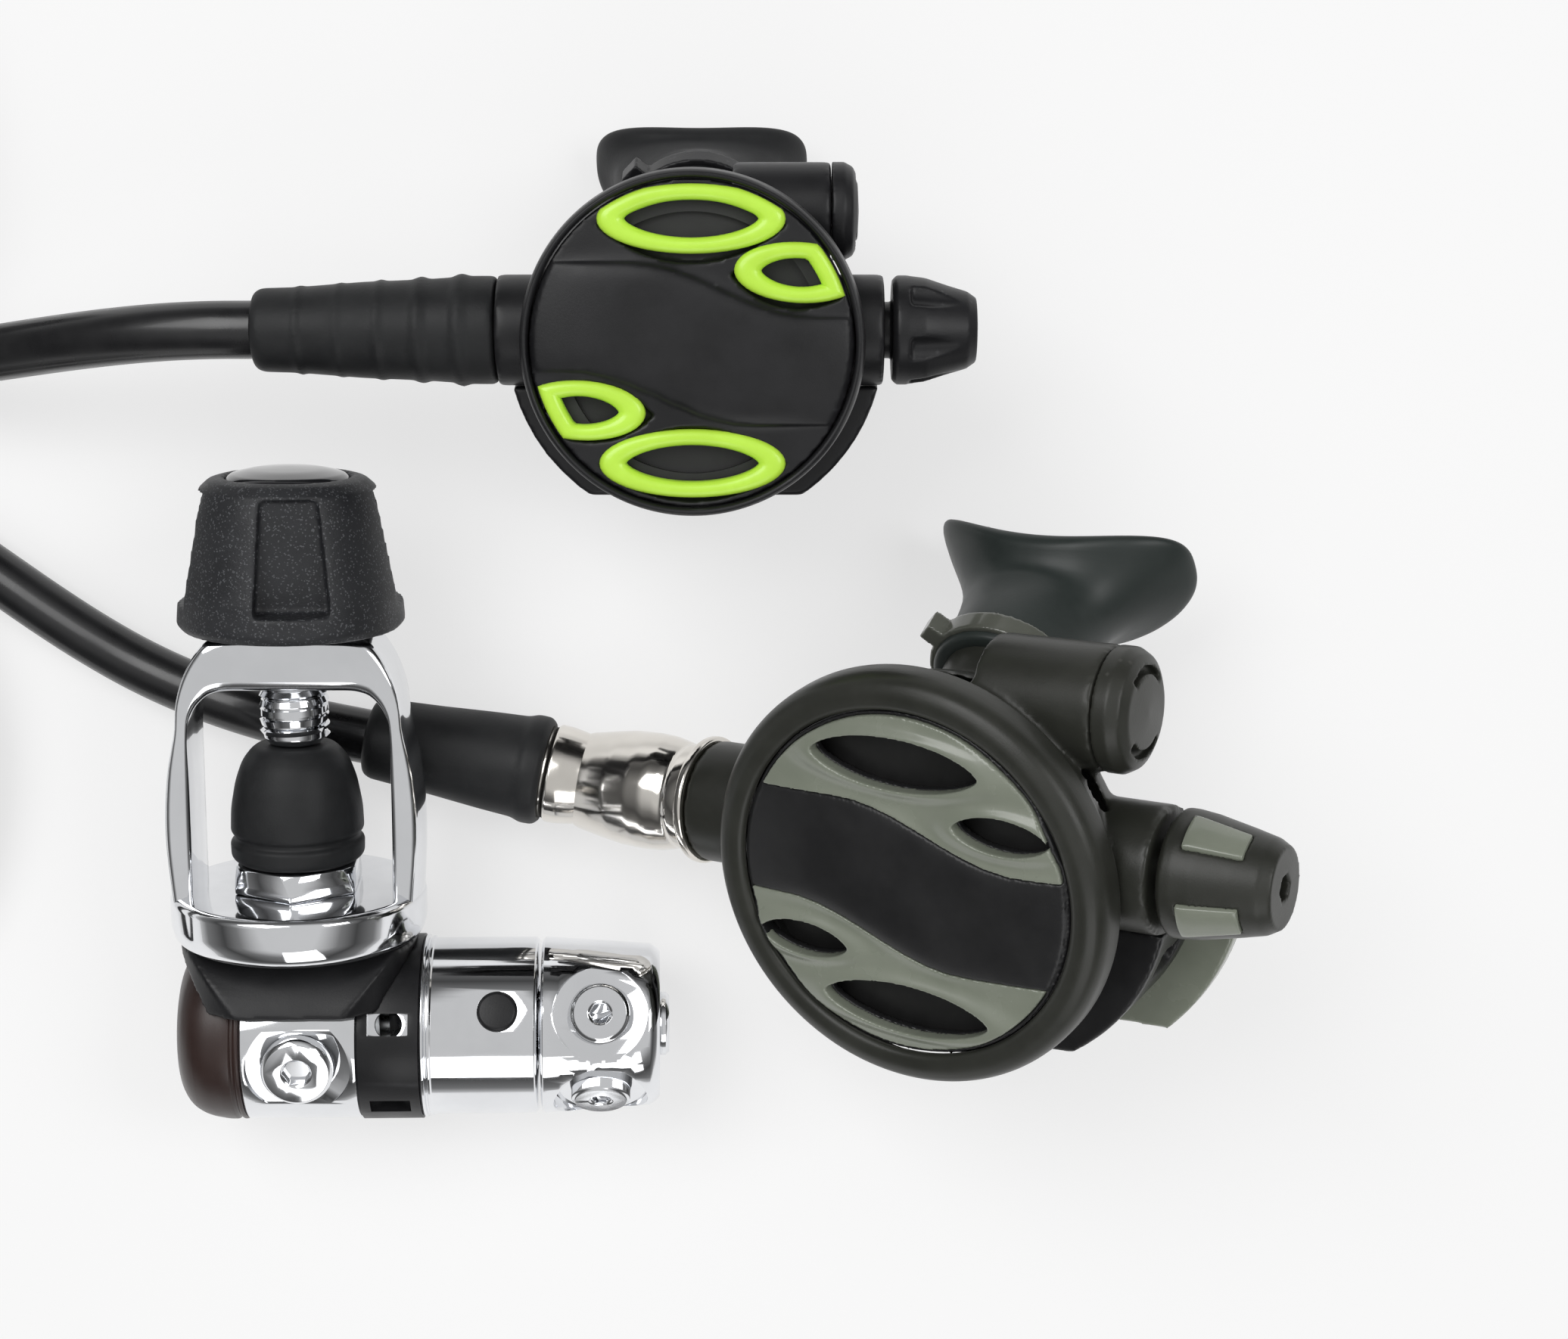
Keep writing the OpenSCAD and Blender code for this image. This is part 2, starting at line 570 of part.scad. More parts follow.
module second_exhaust_valve(s) translate([0, -14 * grow(s), back_z(s) - 1.3]) {
    cylinder(r = 9.5, h = 1.2);
    cylinder(r = 1.5, h = 3.4);
}

module second_side_plug(s) {
    g = grow(s);
    translate([29.2 * g, 27 * g, tube_z(s) - 4]) along_x() difference() {
        rotate_extrude() polygon([[0, 0], [10.4 * g, 0], [10.4 * g, 2.6 * g], [9.4 * g, 4.4 * g],
            [7.4 * g, 5.4 * g], [0, 5.8 * g]]);
        // two arc slots for a turning tool
        for (side = [0, 180]) rotate([0, 0, side]) intersection() {
            ring(7.6 * g, 6.2 * g, 3.6 * g, 9 * g);
            rotate([0, 0, 35]) cube([20, 20, 20]);
        }
    }
}

module knob_body(s) {
    r = tube_r(s);
    rotate_extrude() polygon([[0, 0], [r - 1.2, 0], [r - 0.2, 1], [r - 0.2, 3], [r - 0.7, 7],
        [r - 2.4, 12 * grow(s)], [r - 3.6, 16 * grow(s)], [r - 5, 18 * grow(s)], [0, 18 * grow(s)]]);
}

module second_knob(s) to_tube(s) translate([knob_u(s), 0, 0]) along_x() {
    difference() {
        knob_body(s);
        if (s == ALTERNATE) {
            for (a = [0 : 60 : 300]) rotate([0, 0, a + 18]) translate([tube_r(s) + 1.6, 0, 4])
                rotate([0, -7, 0]) cylinder(r = 3.4, h = 30);
        } else {
            for (a = [0 : 90 : 270]) rotate([0, 0, a + 25]) knob_pocket(s, 0);
        }
        translate([0, 0, 18 * grow(s) - 4]) cylinder(r = 2.9, h = 9, $fn = 6);
    }
    translate([0, 0, -12]) cylinder(r = 6, h = 12.1);
}

module knob_pocket(s, gap) translate([tube_r(s) - 4.2 + gap, 0, 4.5 + gap]) rotate([0, 90, 0])
    linear_extrude(9) polygon([[0, -4.4 + gap], [0, 4.4 - gap], [-12 * grow(s) + 3 + 2 * gap, 3.2 - gap],
        [-12 * grow(s) + 3 + 2 * gap, -3.2 + gap]]);

module second_knob_inserts(s) to_tube(s) translate([knob_u(s), 0, 0]) along_x()
    for (a = [0 : 90 : 270]) rotate([0, 0, a + 25]) intersection() {
        knob_pocket(s, 0.05);
        rotate_extrude() polygon([[0, 0], [tube_r(s) + 0.4, 0], [tube_r(s) + 0.2, 6],
            [tube_r(s) - 1.8, 12 * grow(s)], [tube_r(s) - 3.4, 18 * grow(s)], [0, 18 * grow(s)]]);
    }

// ---- swivel and boots --------------------------------------------------

// Swivel ball centre, in the primary's own frame, and the way its hose leaves
ball_u = -88;
ball_r = 9.2;
function main_rot(p) = let (
    a = main_turn[0], b = main_turn[1], c = main_turn[2],
    p1 = [p[0], p[1] * cos(a) - p[2] * sin(a), p[1] * sin(a) + p[2] * cos(a)],
    p2 = [p1[0] * cos(b) + p1[2] * sin(b), p1[1], -p1[0] * sin(b) + p1[2] * cos(b)])
    [p2[0] * cos(c) - p2[1] * sin(c), p2[0] * sin(c) + p2[1] * cos(c), p2[2]];
ball_at = main_at + main_rot([ball_u, tube_v(PRIMARY), tube_z(PRIMARY)]);
boot_yaw = 169;
boot_pitch = 2.5;
boot_l = 42;
boot_lip_r = 12.4;

module from_ball() translate(set_at + ball_at) rotate([0, 0, boot_yaw]) rotate([0, 90 + boot_pitch, 0])
    children();

module primary_inlet_ring() color(CHROME) second(PRIMARY) to_tube(PRIMARY)
    translate([inlet_u(PRIMARY) - 2.4, 0, 0]) along_x() ring(main_tube_r + 0.8, 6.1, 0, 2.3);

module primary_swivel_housing() color(CHROME) second(PRIMARY) to_tube(PRIMARY)
    translate([ball_u, 0, 0]) along_x() difference() {
        rotate_extrude() polygon([[0, -6], [10.4, -6], [11.2, -3.5], [12.2, 1], [13, 8], [13.2, 14],
            [12.4, 20], [11.9, inlet_u(PRIMARY) - 2.45 - ball_u], [0, inlet_u(PRIMARY) - 2.45 - ball_u]]);
        sphere(r = ball_r + fit_gap);
        cylinder(r = 4, h = 80);
        translate([0, 0, -30]) cylinder(r1 = 25.5, r2 = 5.5, h = 30);
    }

module primary_swivel_ball() color(CHROME) from_ball() difference() {
    union() {
        sphere(r = ball_r);
        cylinder(r = 5, h = 14);
        translate([0, 0, 12]) rotate_extrude() polygon([[0, 0], [7, 0], [9.6, 1.8], [10.4, 3.2], [10.4, 5.5],
            [0, 5.5]]);
    }
    translate([0, 0, -20]) cylinder(r = 3, h = 60);
}

module primary_boot() color(BLACK) from_ball() translate([0, 0, 14]) difference() {
    rotate_extrude() polygon([[0, 0], [11.4, 0], [boot_lip_r, 1.2], [boot_lip_r, 4.5], [11.6, 6.5],
        [11, 14], [10.1, 26], [9.2, boot_l - 1.5], [8.4, boot_l - 0.5], [0, boot_l - 0.5]]);
    translate([0, 0, -1]) cylinder(r = 10.45, h = 4.6);
    cylinder(r = hose_d / 2 - 2, h = 80);
}

alt_boot_l = 52;
module alternate_boot() color(BLACK) second(ALTERNATE) to_tube(ALTERNATE)
    translate([inlet_u(ALTERNATE) - 0.1, 0, 0]) rotate([0, -90, 0]) difference() {
        rotate_extrude() polygon([[0, 0], [alt_tube_r - 0.3, 0], [alt_tube_r - 0.2, 6], [alt_tube_r - 1, 16],
            [alt_tube_r - 1.5, 30], [alt_tube_r - 2.7, 44], [alt_tube_r - 2.8, alt_boot_l - 1.5],
            [alt_tube_r - 3.6, alt_boot_l], [0, alt_boot_l]]);
        translate([0, 0, -1]) cylinder(r = hose_d / 2 - 2, h = 80);
    }

// ---- hoses -------------------------------------------------------------

function unit(v) = v / norm(v);
function heading(p, i) = unit(p[min(i + 1, len(p) - 1)] - p[max(i - 1, 0)]);

// Tube of radius r along the points p, with n sides
module sweep(p, r, n) {
    rings = len(p);
    points = [for (i = [0 : rings - 1]) let (
            t = heading(p, i),
            side = unit(cross(abs(t[2]) > 0.9 ? [1, 0, 0] : [0, 0, 1], t)),
            up = cross(t, side))
        for (k = [0 : n - 1]) let (a = 360 * (k + 0.5) / n) p[i] + r * (cos(a) * side + sin(a) * up)];
    faces = concat(
        [[for (k = [0 : n - 1]) k]],
        [for (i = [0 : rings - 2], k = [0 : n - 1]) let (
                a = i * n + k, b = i * n + (k + 1) % n, c = a + n, d = b + n)
            each [[a, c, b], [b, c, d]]],
        [[for (k = [n - 1 : -1 : 0]) (rings - 1) * n + k]]);
    polyhedron(points, faces);
}

// Routes, as laid before the shift of the whole set
main_route = [
    [-94.7, -15.5, 11.8], [-104, -13.7, 11.2], [-113, -11.8, 10.2], [-122, -9.4, 9.1], [-131, -6.5, 8.1],
    [-141, -2.6, 7.3], [-151, 2.2, 6.6], [-161, 8, 6.6], [-171, 14.5, 6.6], [-181, 21.4, 6.6],
    [-191, 28.3, 6.6], [-202, 35.3, 6.6], [-213, 41.4, 6.6], [-225, 46.6, 6.6], [-238, 50.3, 6.6],
    [-252, 51.9, 6.6]
];
alt_route = [
    [-113.1, 72.7, 50.6], [-123, 72.7, 50.1], [-133, 72.5, 48.3], [-143, 72.1, 45.2], [-153, 71.6, 41],
    [-163, 71, 36.3], [-173, 70.3, 31.5], [-183, 69.6, 26.8], [-194, 68.8, 21.9], [-206, 68, 16.9],
    [-219, 67.3, 12], [-233, 66.7, 8.6], [-248, 66.3, 6.9]
];

// A coil laid turn upon turn. Each turn climbs onto the one below before it meets its
// start, and the end leaves the top turn, so that the fitting is free to be screwed in.
coil_x = -264;
lay_z = 6.6;
steps_per_turn = 24;
turn_rise = hose_d + 1.05;
climb_from = 0.42; // in turns before a turn is full
climb_over = 0.31;
coil_end_l = 30;
function ease(u) = u <= 0 ? 0 : u >= 1 ? 1 : u * u * (3 - 2 * u);
function layer(t) = turn_rise * (ease((t - 1 + climb_from) / climb_over)
    + ease((t - 2 + climb_from) / climb_over) + ease((t - 3 + climb_from) / climb_over));
// top: where the coil begins; way: 1 winds to the left, -1 to the right
function coil_points(top, way, r, turns) = let (
    n = round(turns * steps_per_turn),
    a1 = 90 + 360 * n / steps_per_turn,
    wound = [for (i = [0 : n]) let (a = 90 + 360 * i / steps_per_turn)
        [r * cos(a), r * sin(a), layer(i / steps_per_turn)]],
    end = [for (s = [1 : 3]) let (d = coil_end_l * s / 3)
        [r * cos(a1) - d * sin(a1), r * sin(a1) + d * cos(a1), layer(turns)]])
    [for (p = concat(wound, end)) [coil_x + p[0], top + way * (p[1] - r), lay_z + p[2]]];

main_coil = coil_points(52, 1, 75, 1.25);
alt_coil = coil_points(66.2, -1, 60.6, 2.25);

function route_l(p) = len(p) < 2 ? 0 : norm(p[1] - p[0]) + route_l([for (i = [1 : len(p) - 1]) p[i]]);

// Least gap of a coil to itself, between points at least a third of a turn apart
function self_gap(p, r) =
    min([for (i = [0 : len(p) - 9], k = [i + 8 : len(p) - 1]) norm(p[i] - p[k])]) - 2 * r;

main_line = concat(main_route, [main_coil[0]]);
alt_line = concat(alt_route, [alt_coil[0]]);
boot_way = [cos(boot_yaw) * cos(boot_pitch), sin(boot_yaw) * cos(boot_pitch), -sin(boot_pitch)];
echo(boot_end = ball_at + (14 + boot_l - 0.5) * boot_way, ball_at = ball_at);
echo(main_hose_length = route_l(main_line) + route_l(main_coil));
echo(alt_hose_length = route_l(alt_line) + route_l(alt_coil));
echo(coil_gap_main = self_gap(main_coil, hose_d / 2), coil_gap_alt = self_gap(alt_coil, hose_d / 2));

module shifted() translate(set_at) children();
module primary_hose() color(HOSE) shifted() sweep(main_line, hose_d / 2, 10);
module primary_hose_coil() color(HOSE) shifted() sweep(main_coil, hose_d / 2, 6);
module alternate_hose() color(HOSE) shifted() sweep(alt_line, hose_d / 2, 10);
module alternate_hose_coil() color(HOSE) shifted() sweep(alt_coil, hose_d / 2, 6);

fitting_hex_r = 7.4;
// Chrome end fitting: ferrule, hexagon and threaded nose
module end_fitting(p) {
    last = p[len(p) - 1];
    t = unit(last - p[len(p) - 2]);
    shifted() translate(last) rotate([0, 0, atan2(t[1], t[0])]) along_x() translate([0, 0, 0.1]) {
        cylinder(r = hose_d / 2 + 0.1, h = fitting_l - 13.5);
        translate([0, 0, fitting_l - 14]) rotate([0, 0, 30]) cylinder(r = fitting_hex_r, h = 6, $fn = 6);
        translate([0, 0, fitting_l - 9]) cylinder(r = fitting_pin_r, h = 9);
    }
}
module primary_hose_fitting() color(CHROME) end_fitting(main_coil);
module alternate_hose_fitting() color(CHROME) end_fitting(alt_coil);

// ---- nodes -------------------------------------------------------------

end_cap();
main_body();
body_plugs();
ambient_band();
piston_sleeve();
sleeve_plug();
turret();
turret_plugs();
turret_end_plug();
piston();
main_spring();
seat();
saddle();
yoke();
yoke_nut();
inlet_filter();
dust_cap();
yoke_screw();
yoke_knob();
knob_insert();

color(OLIVE) second(PRIMARY) second_case(PRIMARY);  // primary_case
color(OLIVE) second(PRIMARY) second_ring(PRIMARY);  // primary_ring
color(BLACK) second(PRIMARY) second_panel(PRIMARY);  // primary_purge_panel
color(SAGE) second(PRIMARY) second_inserts(PRIMARY);  // primary_cover_inserts
color(SAGE) second(PRIMARY) second_diaphragm(PRIMARY);  // primary_diaphragm
color(CHROME) second(PRIMARY) second_lever(PRIMARY);  // primary_lever
color(CHROME) second(PRIMARY) second_orifice_tube(PRIMARY);  // primary_orifice_tube
color(CHROME) second(PRIMARY) second_poppet(PRIMARY);  // primary_poppet
color(OLIVE) second(PRIMARY) second_mouthpiece(PRIMARY);  // primary_mouthpiece
color(SAGE) second(PRIMARY) second_tie(PRIMARY);  // primary_tie
color(BLACK) second(PRIMARY) second_tee(PRIMARY);  // primary_exhaust_tee
color(SAGE) second(PRIMARY) second_deflectors(PRIMARY);  // primary_deflectors
color(BLACK) second(PRIMARY) second_exhaust_valve(PRIMARY);  // primary_exhaust_valve
color(OLIVE) second(PRIMARY) second_side_plug(PRIMARY);  // primary_side_plug
color(BLACK) second(PRIMARY) second_knob(PRIMARY);  // primary_knob
color(SAGE) second(PRIMARY) second_knob_inserts(PRIMARY);  // primary_knob_inserts
primary_swivel_housing();
primary_inlet_ring();
primary_swivel_ball();
primary_boot();

color(BLACK) second(ALTERNATE) second_case(ALTERNATE);  // alternate_case
color(BLACK) second(ALTERNATE) second_ring(ALTERNATE);  // alternate_ring
color(BLACK) second(ALTERNATE) second_panel(ALTERNATE);  // alternate_purge_panel
color(LIME) second(ALTERNATE) second_inserts(ALTERNATE);  // alternate_cover_inserts
color(SAGE) second(ALTERNATE) second_diaphragm(ALTERNATE);  // alternate_diaphragm
color(CHROME) second(ALTERNATE) second_lever(ALTERNATE);  // alternate_lever
color(CHROME) second(ALTERNATE) second_orifice_tube(ALTERNATE);  // alternate_orifice_tube
color(CHROME) second(ALTERNATE) second_poppet(ALTERNATE);  // alternate_poppet
color(BLACK) second(ALTERNATE) second_mouthpiece(ALTERNATE);  // alternate_mouthpiece
color(BLACK) second(ALTERNATE) second_tie(ALTERNATE);  // alternate_tie
color(BLACK) second(ALTERNATE) second_tee(ALTERNATE);  // alternate_exhaust_tee
color(BLACK) second(ALTERNATE) second_side_plug(ALTERNATE);  // alternate_side_plug
color(BLACK) second(ALTERNATE) second_knob(ALTERNATE);  // alternate_knob
alternate_boot();

primary_hose();
primary_hose_coil();
primary_hose_fitting();
alternate_hose();
alternate_hose_coil();
alternate_hose_fitting();
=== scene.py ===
# Scuba regulator set: yoke first stage, primary and alternate second stage, two loose hoses.
# The rigid frame comes packed; this script gives every piece its surface and its soft forms.
import json
import math

import bmesh
import bpy
from mathutils import Euler, Matrix, Vector


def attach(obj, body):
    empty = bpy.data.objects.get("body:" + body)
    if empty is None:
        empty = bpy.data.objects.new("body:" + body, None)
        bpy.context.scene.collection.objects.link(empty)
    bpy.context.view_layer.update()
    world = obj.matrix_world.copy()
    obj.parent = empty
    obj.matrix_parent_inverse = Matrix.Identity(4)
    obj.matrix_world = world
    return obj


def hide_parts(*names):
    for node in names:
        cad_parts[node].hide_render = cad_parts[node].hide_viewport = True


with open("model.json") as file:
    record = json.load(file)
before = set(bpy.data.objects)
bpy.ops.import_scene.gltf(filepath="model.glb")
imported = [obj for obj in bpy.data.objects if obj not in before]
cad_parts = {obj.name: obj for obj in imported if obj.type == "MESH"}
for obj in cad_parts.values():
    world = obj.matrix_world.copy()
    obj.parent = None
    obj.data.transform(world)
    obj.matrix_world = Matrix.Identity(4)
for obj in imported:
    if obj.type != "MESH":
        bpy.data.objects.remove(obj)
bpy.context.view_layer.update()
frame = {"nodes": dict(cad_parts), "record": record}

record = frame["record"]
bodyOf = {node: body for body, nodes in record["behaviour"]["bodies"].items() for node in nodes}
slotOf = {row["node"]: row["material_slot"] for row in record["subparts"]}
mm = 0.001

# Where the three units lie, in millimetres and degrees
layout = {
    "set": (16.5, -11.72, -0.27),
    "first": ((-107.8, -80.0, 23.4), (12.0, 3.0, 0.0)),
    "primary": ((24.0, -44.0, 76.0), (21.0, -30.0, -7.0)),
    "alternate": ((-19.0, 67.0, 71.0), (10.0, 0.0, 0.0)),
}


def unitFrame(name):
    at, turn = layout[name]
    place = Matrix.Translation((Vector(layout["set"]) + Vector(at)) * mm)
    spin = Euler([math.radians(a) for a in turn], "XYZ").to_matrix().to_4x4()
    return place @ spin @ Matrix.Scale(mm, 4)


firstFrame = unitFrame("first")
stageFrame = {"primary": unitFrame("primary"), "alternate": unitFrame("alternate")}
alongX = Matrix.Rotation(math.radians(90), 4, "Y")
alongY = Matrix.Rotation(math.radians(-90), 4, "X")


camera = {"height": 600.0, "lens": 59.0, "sensor": 36.0, "reach": 20.0}
cameraData = bpy.data.cameras.new("camera")
cameraData.lens = camera["lens"]
cameraData.sensor_width = camera["sensor"]
cameraData.clip_end = camera["reach"]
cameraObject = bpy.data.objects.new("camera", cameraData)
cameraObject.location = (layout["set"][0] * mm, layout["set"][1] * mm, camera["height"] * mm)
bpy.context.scene.collection.objects.link(cameraObject)
bpy.context.scene.camera = cameraObject
bpy.context.scene.view_settings.view_transform = "Standard"

lamps = {
    "key": {"at": (-0.55, 0.45, 1.15), "size": 0.75, "power": 7.0},
    "fill": {"at": (0.75, 0.15, 1.0), "size": 0.5, "power": 3.2},
    "rim": {"at": (0.1, -0.95, 0.75), "size": 0.6, "power": 2.2},
}
for lampName, lamp in lamps.items():
    data = bpy.data.lights.new(lampName, "AREA")
    data.size = lamp["size"]
    data.energy = lamp["power"]
    lampObject = bpy.data.objects.new(lampName, data)
    lampObject.location = lamp["at"]
    lampObject.rotation_euler = (-Vector(lamp["at"])).to_track_quat("-Z", "Y").to_euler()
    bpy.context.scene.collection.objects.link(lampObject)


def link(tree, outSocket, inSocket):
    tree.links.new(outSocket, inSocket)


def mathNode(tree, operation):
    node = tree.nodes.new("ShaderNodeMath")
    node.operation = operation
    return node


def ramp(tree, stops):
    node = tree.nodes.new("ShaderNodeValToRGB")
    while len(node.color_ramp.elements) < len(stops):
        node.color_ramp.elements.new(1.0)
    for element, (position, value) in zip(node.color_ramp.elements, stops):
        element.position = position
        element.color = (value, value, value, 1)
    return node


# A soft grey room with a dark belt, so that the chrome has something to show
room = {
    "strength": 0.62,
    "belt": [(0.0, 0.8), (0.5, 0.8), (0.56, 0.3), (0.7, 0.1), (0.8, 0.32), (0.9, 1.0), (1.0, 1.0)],
}
world = bpy.data.worlds.new("room")
bpy.context.scene.world = world
world.use_nodes = True
worldTree = world.node_tree
coordinate = worldTree.nodes.new("ShaderNodeTexCoord")
split = worldTree.nodes.new("ShaderNodeSeparateXYZ")
height = worldTree.nodes.new("ShaderNodeMapRange")
height.inputs["From Min"].default_value = -1
belt = ramp(worldTree, room["belt"])
link(worldTree, coordinate.outputs["Generated"], split.inputs[0])
link(worldTree, split.outputs["Z"], height.inputs["Value"])
link(worldTree, height.outputs["Result"], belt.inputs["Fac"])
link(worldTree, belt.outputs["Color"], worldTree.nodes["Background"].inputs["Color"])
worldTree.nodes["Background"].inputs["Strength"].default_value = room["strength"]

# Half side in metres, colour, and the share of plain white that the camera sees
stageFloor = {"half": 3.0, "grey": (0.93, 0.93, 0.93, 1), "rough": 0.9, "white": 0.62}
corners = ((-1, -1), (1, -1), (1, 1), (-1, 1))
floorMesh = bpy.data.meshes.new("floor")
floorMesh.from_pydata([(x * stageFloor["half"], y * stageFloor["half"], 0) for x, y in corners],
                      [], [(0, 1, 2, 3)])
floor = bpy.data.objects.new("floor", floorMesh)
bpy.context.scene.collection.objects.link(floor)
floorMaterial = bpy.data.materials.new("paleFloor")
floorMaterial.use_nodes = True
floorShader = floorMaterial.node_tree.nodes["Principled BSDF"]
floorShader.inputs["Base Color"].default_value = stageFloor["grey"]
floorShader.inputs["Roughness"].default_value = stageFloor["rough"]
floorTree = floorMaterial.node_tree
rays = floorTree.nodes.new("ShaderNodeLightPath")
pale = mathNode(floorTree, "MULTIPLY")
pale.inputs[1].default_value = stageFloor["white"]
seen = mathNode(floorTree, "MAXIMUM")
white = floorTree.nodes.new("ShaderNodeEmission")
floorMix = floorTree.nodes.new("ShaderNodeMixShader")
link(floorTree, rays.outputs["Is Camera Ray"], seen.inputs[0])
link(floorTree, rays.outputs["Is Glossy Ray"], seen.inputs[1])
link(floorTree, seen.outputs[0], pale.inputs[0])
link(floorTree, pale.outputs[0], floorMix.inputs[0])
link(floorTree, floorShader.outputs[0], floorMix.inputs[1])
link(floorTree, white.outputs[0], floorMix.inputs[2])
link(floorTree, floorMix.outputs[0], floorTree.nodes["Material Output"].inputs["Surface"])
floorMesh.materials.append(floorMaterial)
print("stage: camera, lamps and floor")


def groupTree(name, inputs, outputs):
    tree = bpy.data.node_groups.new(name, "ShaderNodeTree")
    for socketName, kind, value in inputs:
        socket = tree.interface.new_socket(socketName, in_out="INPUT", socket_type=kind)
        socket.default_value = value
    for socketName, kind in outputs:
        tree.interface.new_socket(socketName, in_out="OUTPUT", socket_type=kind)
    return tree, tree.nodes.new("NodeGroupInput"), tree.nodes.new("NodeGroupOutput")


def buildGrain():
    tree, given, result = groupTree("surfaceGrain", [
        ("Base", "NodeSocketColor", (0.5, 0.5, 0.5, 1)), ("Shade", "NodeSocketColor", (0.4, 0.4, 0.4, 1)),
        ("Grain Scale", "NodeSocketFloat", 1500.0), ("Grain Depth", "NodeSocketFloat", 0.00002),
        ("Patch Scale", "NodeSocketFloat", 60.0), ("Rough Low", "NodeSocketFloat", 0.4),
        ("Rough High", "NodeSocketFloat", 0.5),
    ], [("Color", "NodeSocketColor"), ("Roughness", "NodeSocketFloat"), ("Normal", "NodeSocketVector")])
    where = tree.nodes.new("ShaderNodeTexCoord")
    grain = tree.nodes.new("ShaderNodeTexNoise")
    grain.inputs["Detail"].default_value = 3
    patch = tree.nodes.new("ShaderNodeTexNoise")
    patch.inputs["Detail"].default_value = 4
    patch.inputs["Roughness"].default_value = 0.62
    for noise, scale in ((grain, "Grain Scale"), (patch, "Patch Scale")):
        link(tree, where.outputs["Object"], noise.inputs["Vector"])
        link(tree, given.outputs[scale], noise.inputs["Scale"])
    mix = tree.nodes.new("ShaderNodeMix")
    mix.data_type = "RGBA"
    sharpen = tree.nodes.new("ShaderNodeMapRange")
    sharpen.inputs["From Min"].default_value = 0.35
    sharpen.inputs["From Max"].default_value = 0.65
    link(tree, patch.outputs["Fac"], sharpen.inputs["Value"])
    link(tree, sharpen.outputs["Result"], mix.inputs["Factor"])
    link(tree, given.outputs["Base"], mix.inputs["A"])
    link(tree, given.outputs["Shade"], mix.inputs["B"])
    sheen = tree.nodes.new("ShaderNodeMapRange")
    link(tree, sharpen.outputs["Result"], sheen.inputs["Value"])
    link(tree, given.outputs["Rough Low"], sheen.inputs["To Min"])
    link(tree, given.outputs["Rough High"], sheen.inputs["To Max"])
    bump = tree.nodes.new("ShaderNodeBump")
    link(tree, grain.outputs["Fac"], bump.inputs["Height"])
    link(tree, given.outputs["Grain Depth"], bump.inputs["Distance"])
    link(tree, mix.outputs["Result"], result.inputs["Color"])
    link(tree, sheen.outputs["Result"], result.inputs["Roughness"])
    link(tree, bump.outputs["Normal"], result.inputs["Normal"])
    return tree


def buildFlecks():
    tree, given, result = groupTree("flecks", [
        ("Scale", "NodeSocketFloat", 3600.0), ("Share", "NodeSocketFloat", 0.09),
    ], [("Mask", "NodeSocketFloat")])
    where = tree.nodes.new("ShaderNodeTexCoord")
    cells = tree.nodes.new("ShaderNodeTexVoronoi")
    split = tree.nodes.new("ShaderNodeSeparateColor")
    compare = mathNode(tree, "LESS_THAN")
    link(tree, where.outputs["Object"], cells.inputs["Vector"])
    link(tree, given.outputs["Scale"], cells.inputs["Scale"])
    link(tree, cells.outputs["Color"], split.inputs["Color"])
    link(tree, split.outputs["Red"], compare.inputs[0])
    link(tree, given.outputs["Share"], compare.inputs[1])
    link(tree, compare.outputs["Value"], result.inputs["Mask"])
    return tree


def buildWear():
    tree, given, result = groupTree("rubbedEdges", [
        ("Start", "NodeSocketFloat", 0.54), ("Scale", "NodeSocketFloat", 400.0),
    ], [("Mask", "NodeSocketFloat")])
    shape = tree.nodes.new("ShaderNodeNewGeometry")
    where = tree.nodes.new("ShaderNodeTexCoord")
    noise = tree.nodes.new("ShaderNodeTexNoise")
    edge = tree.nodes.new("ShaderNodeMapRange")
    edge.inputs["From Max"].default_value = 0.7
    product = mathNode(tree, "MULTIPLY")
    link(tree, shape.outputs["Pointiness"], edge.inputs["Value"])
    link(tree, given.outputs["Start"], edge.inputs["From Min"])
    link(tree, where.outputs["Object"], noise.inputs["Vector"])
    link(tree, given.outputs["Scale"], noise.inputs["Scale"])
    link(tree, edge.outputs["Result"], product.inputs[0])
    link(tree, noise.outputs["Fac"], product.inputs[1])
    link(tree, product.outputs["Value"], result.inputs["Mask"])
    return tree


grainGroup = buildGrain()
fleckGroup = buildFlecks()
wearGroup = buildWear()

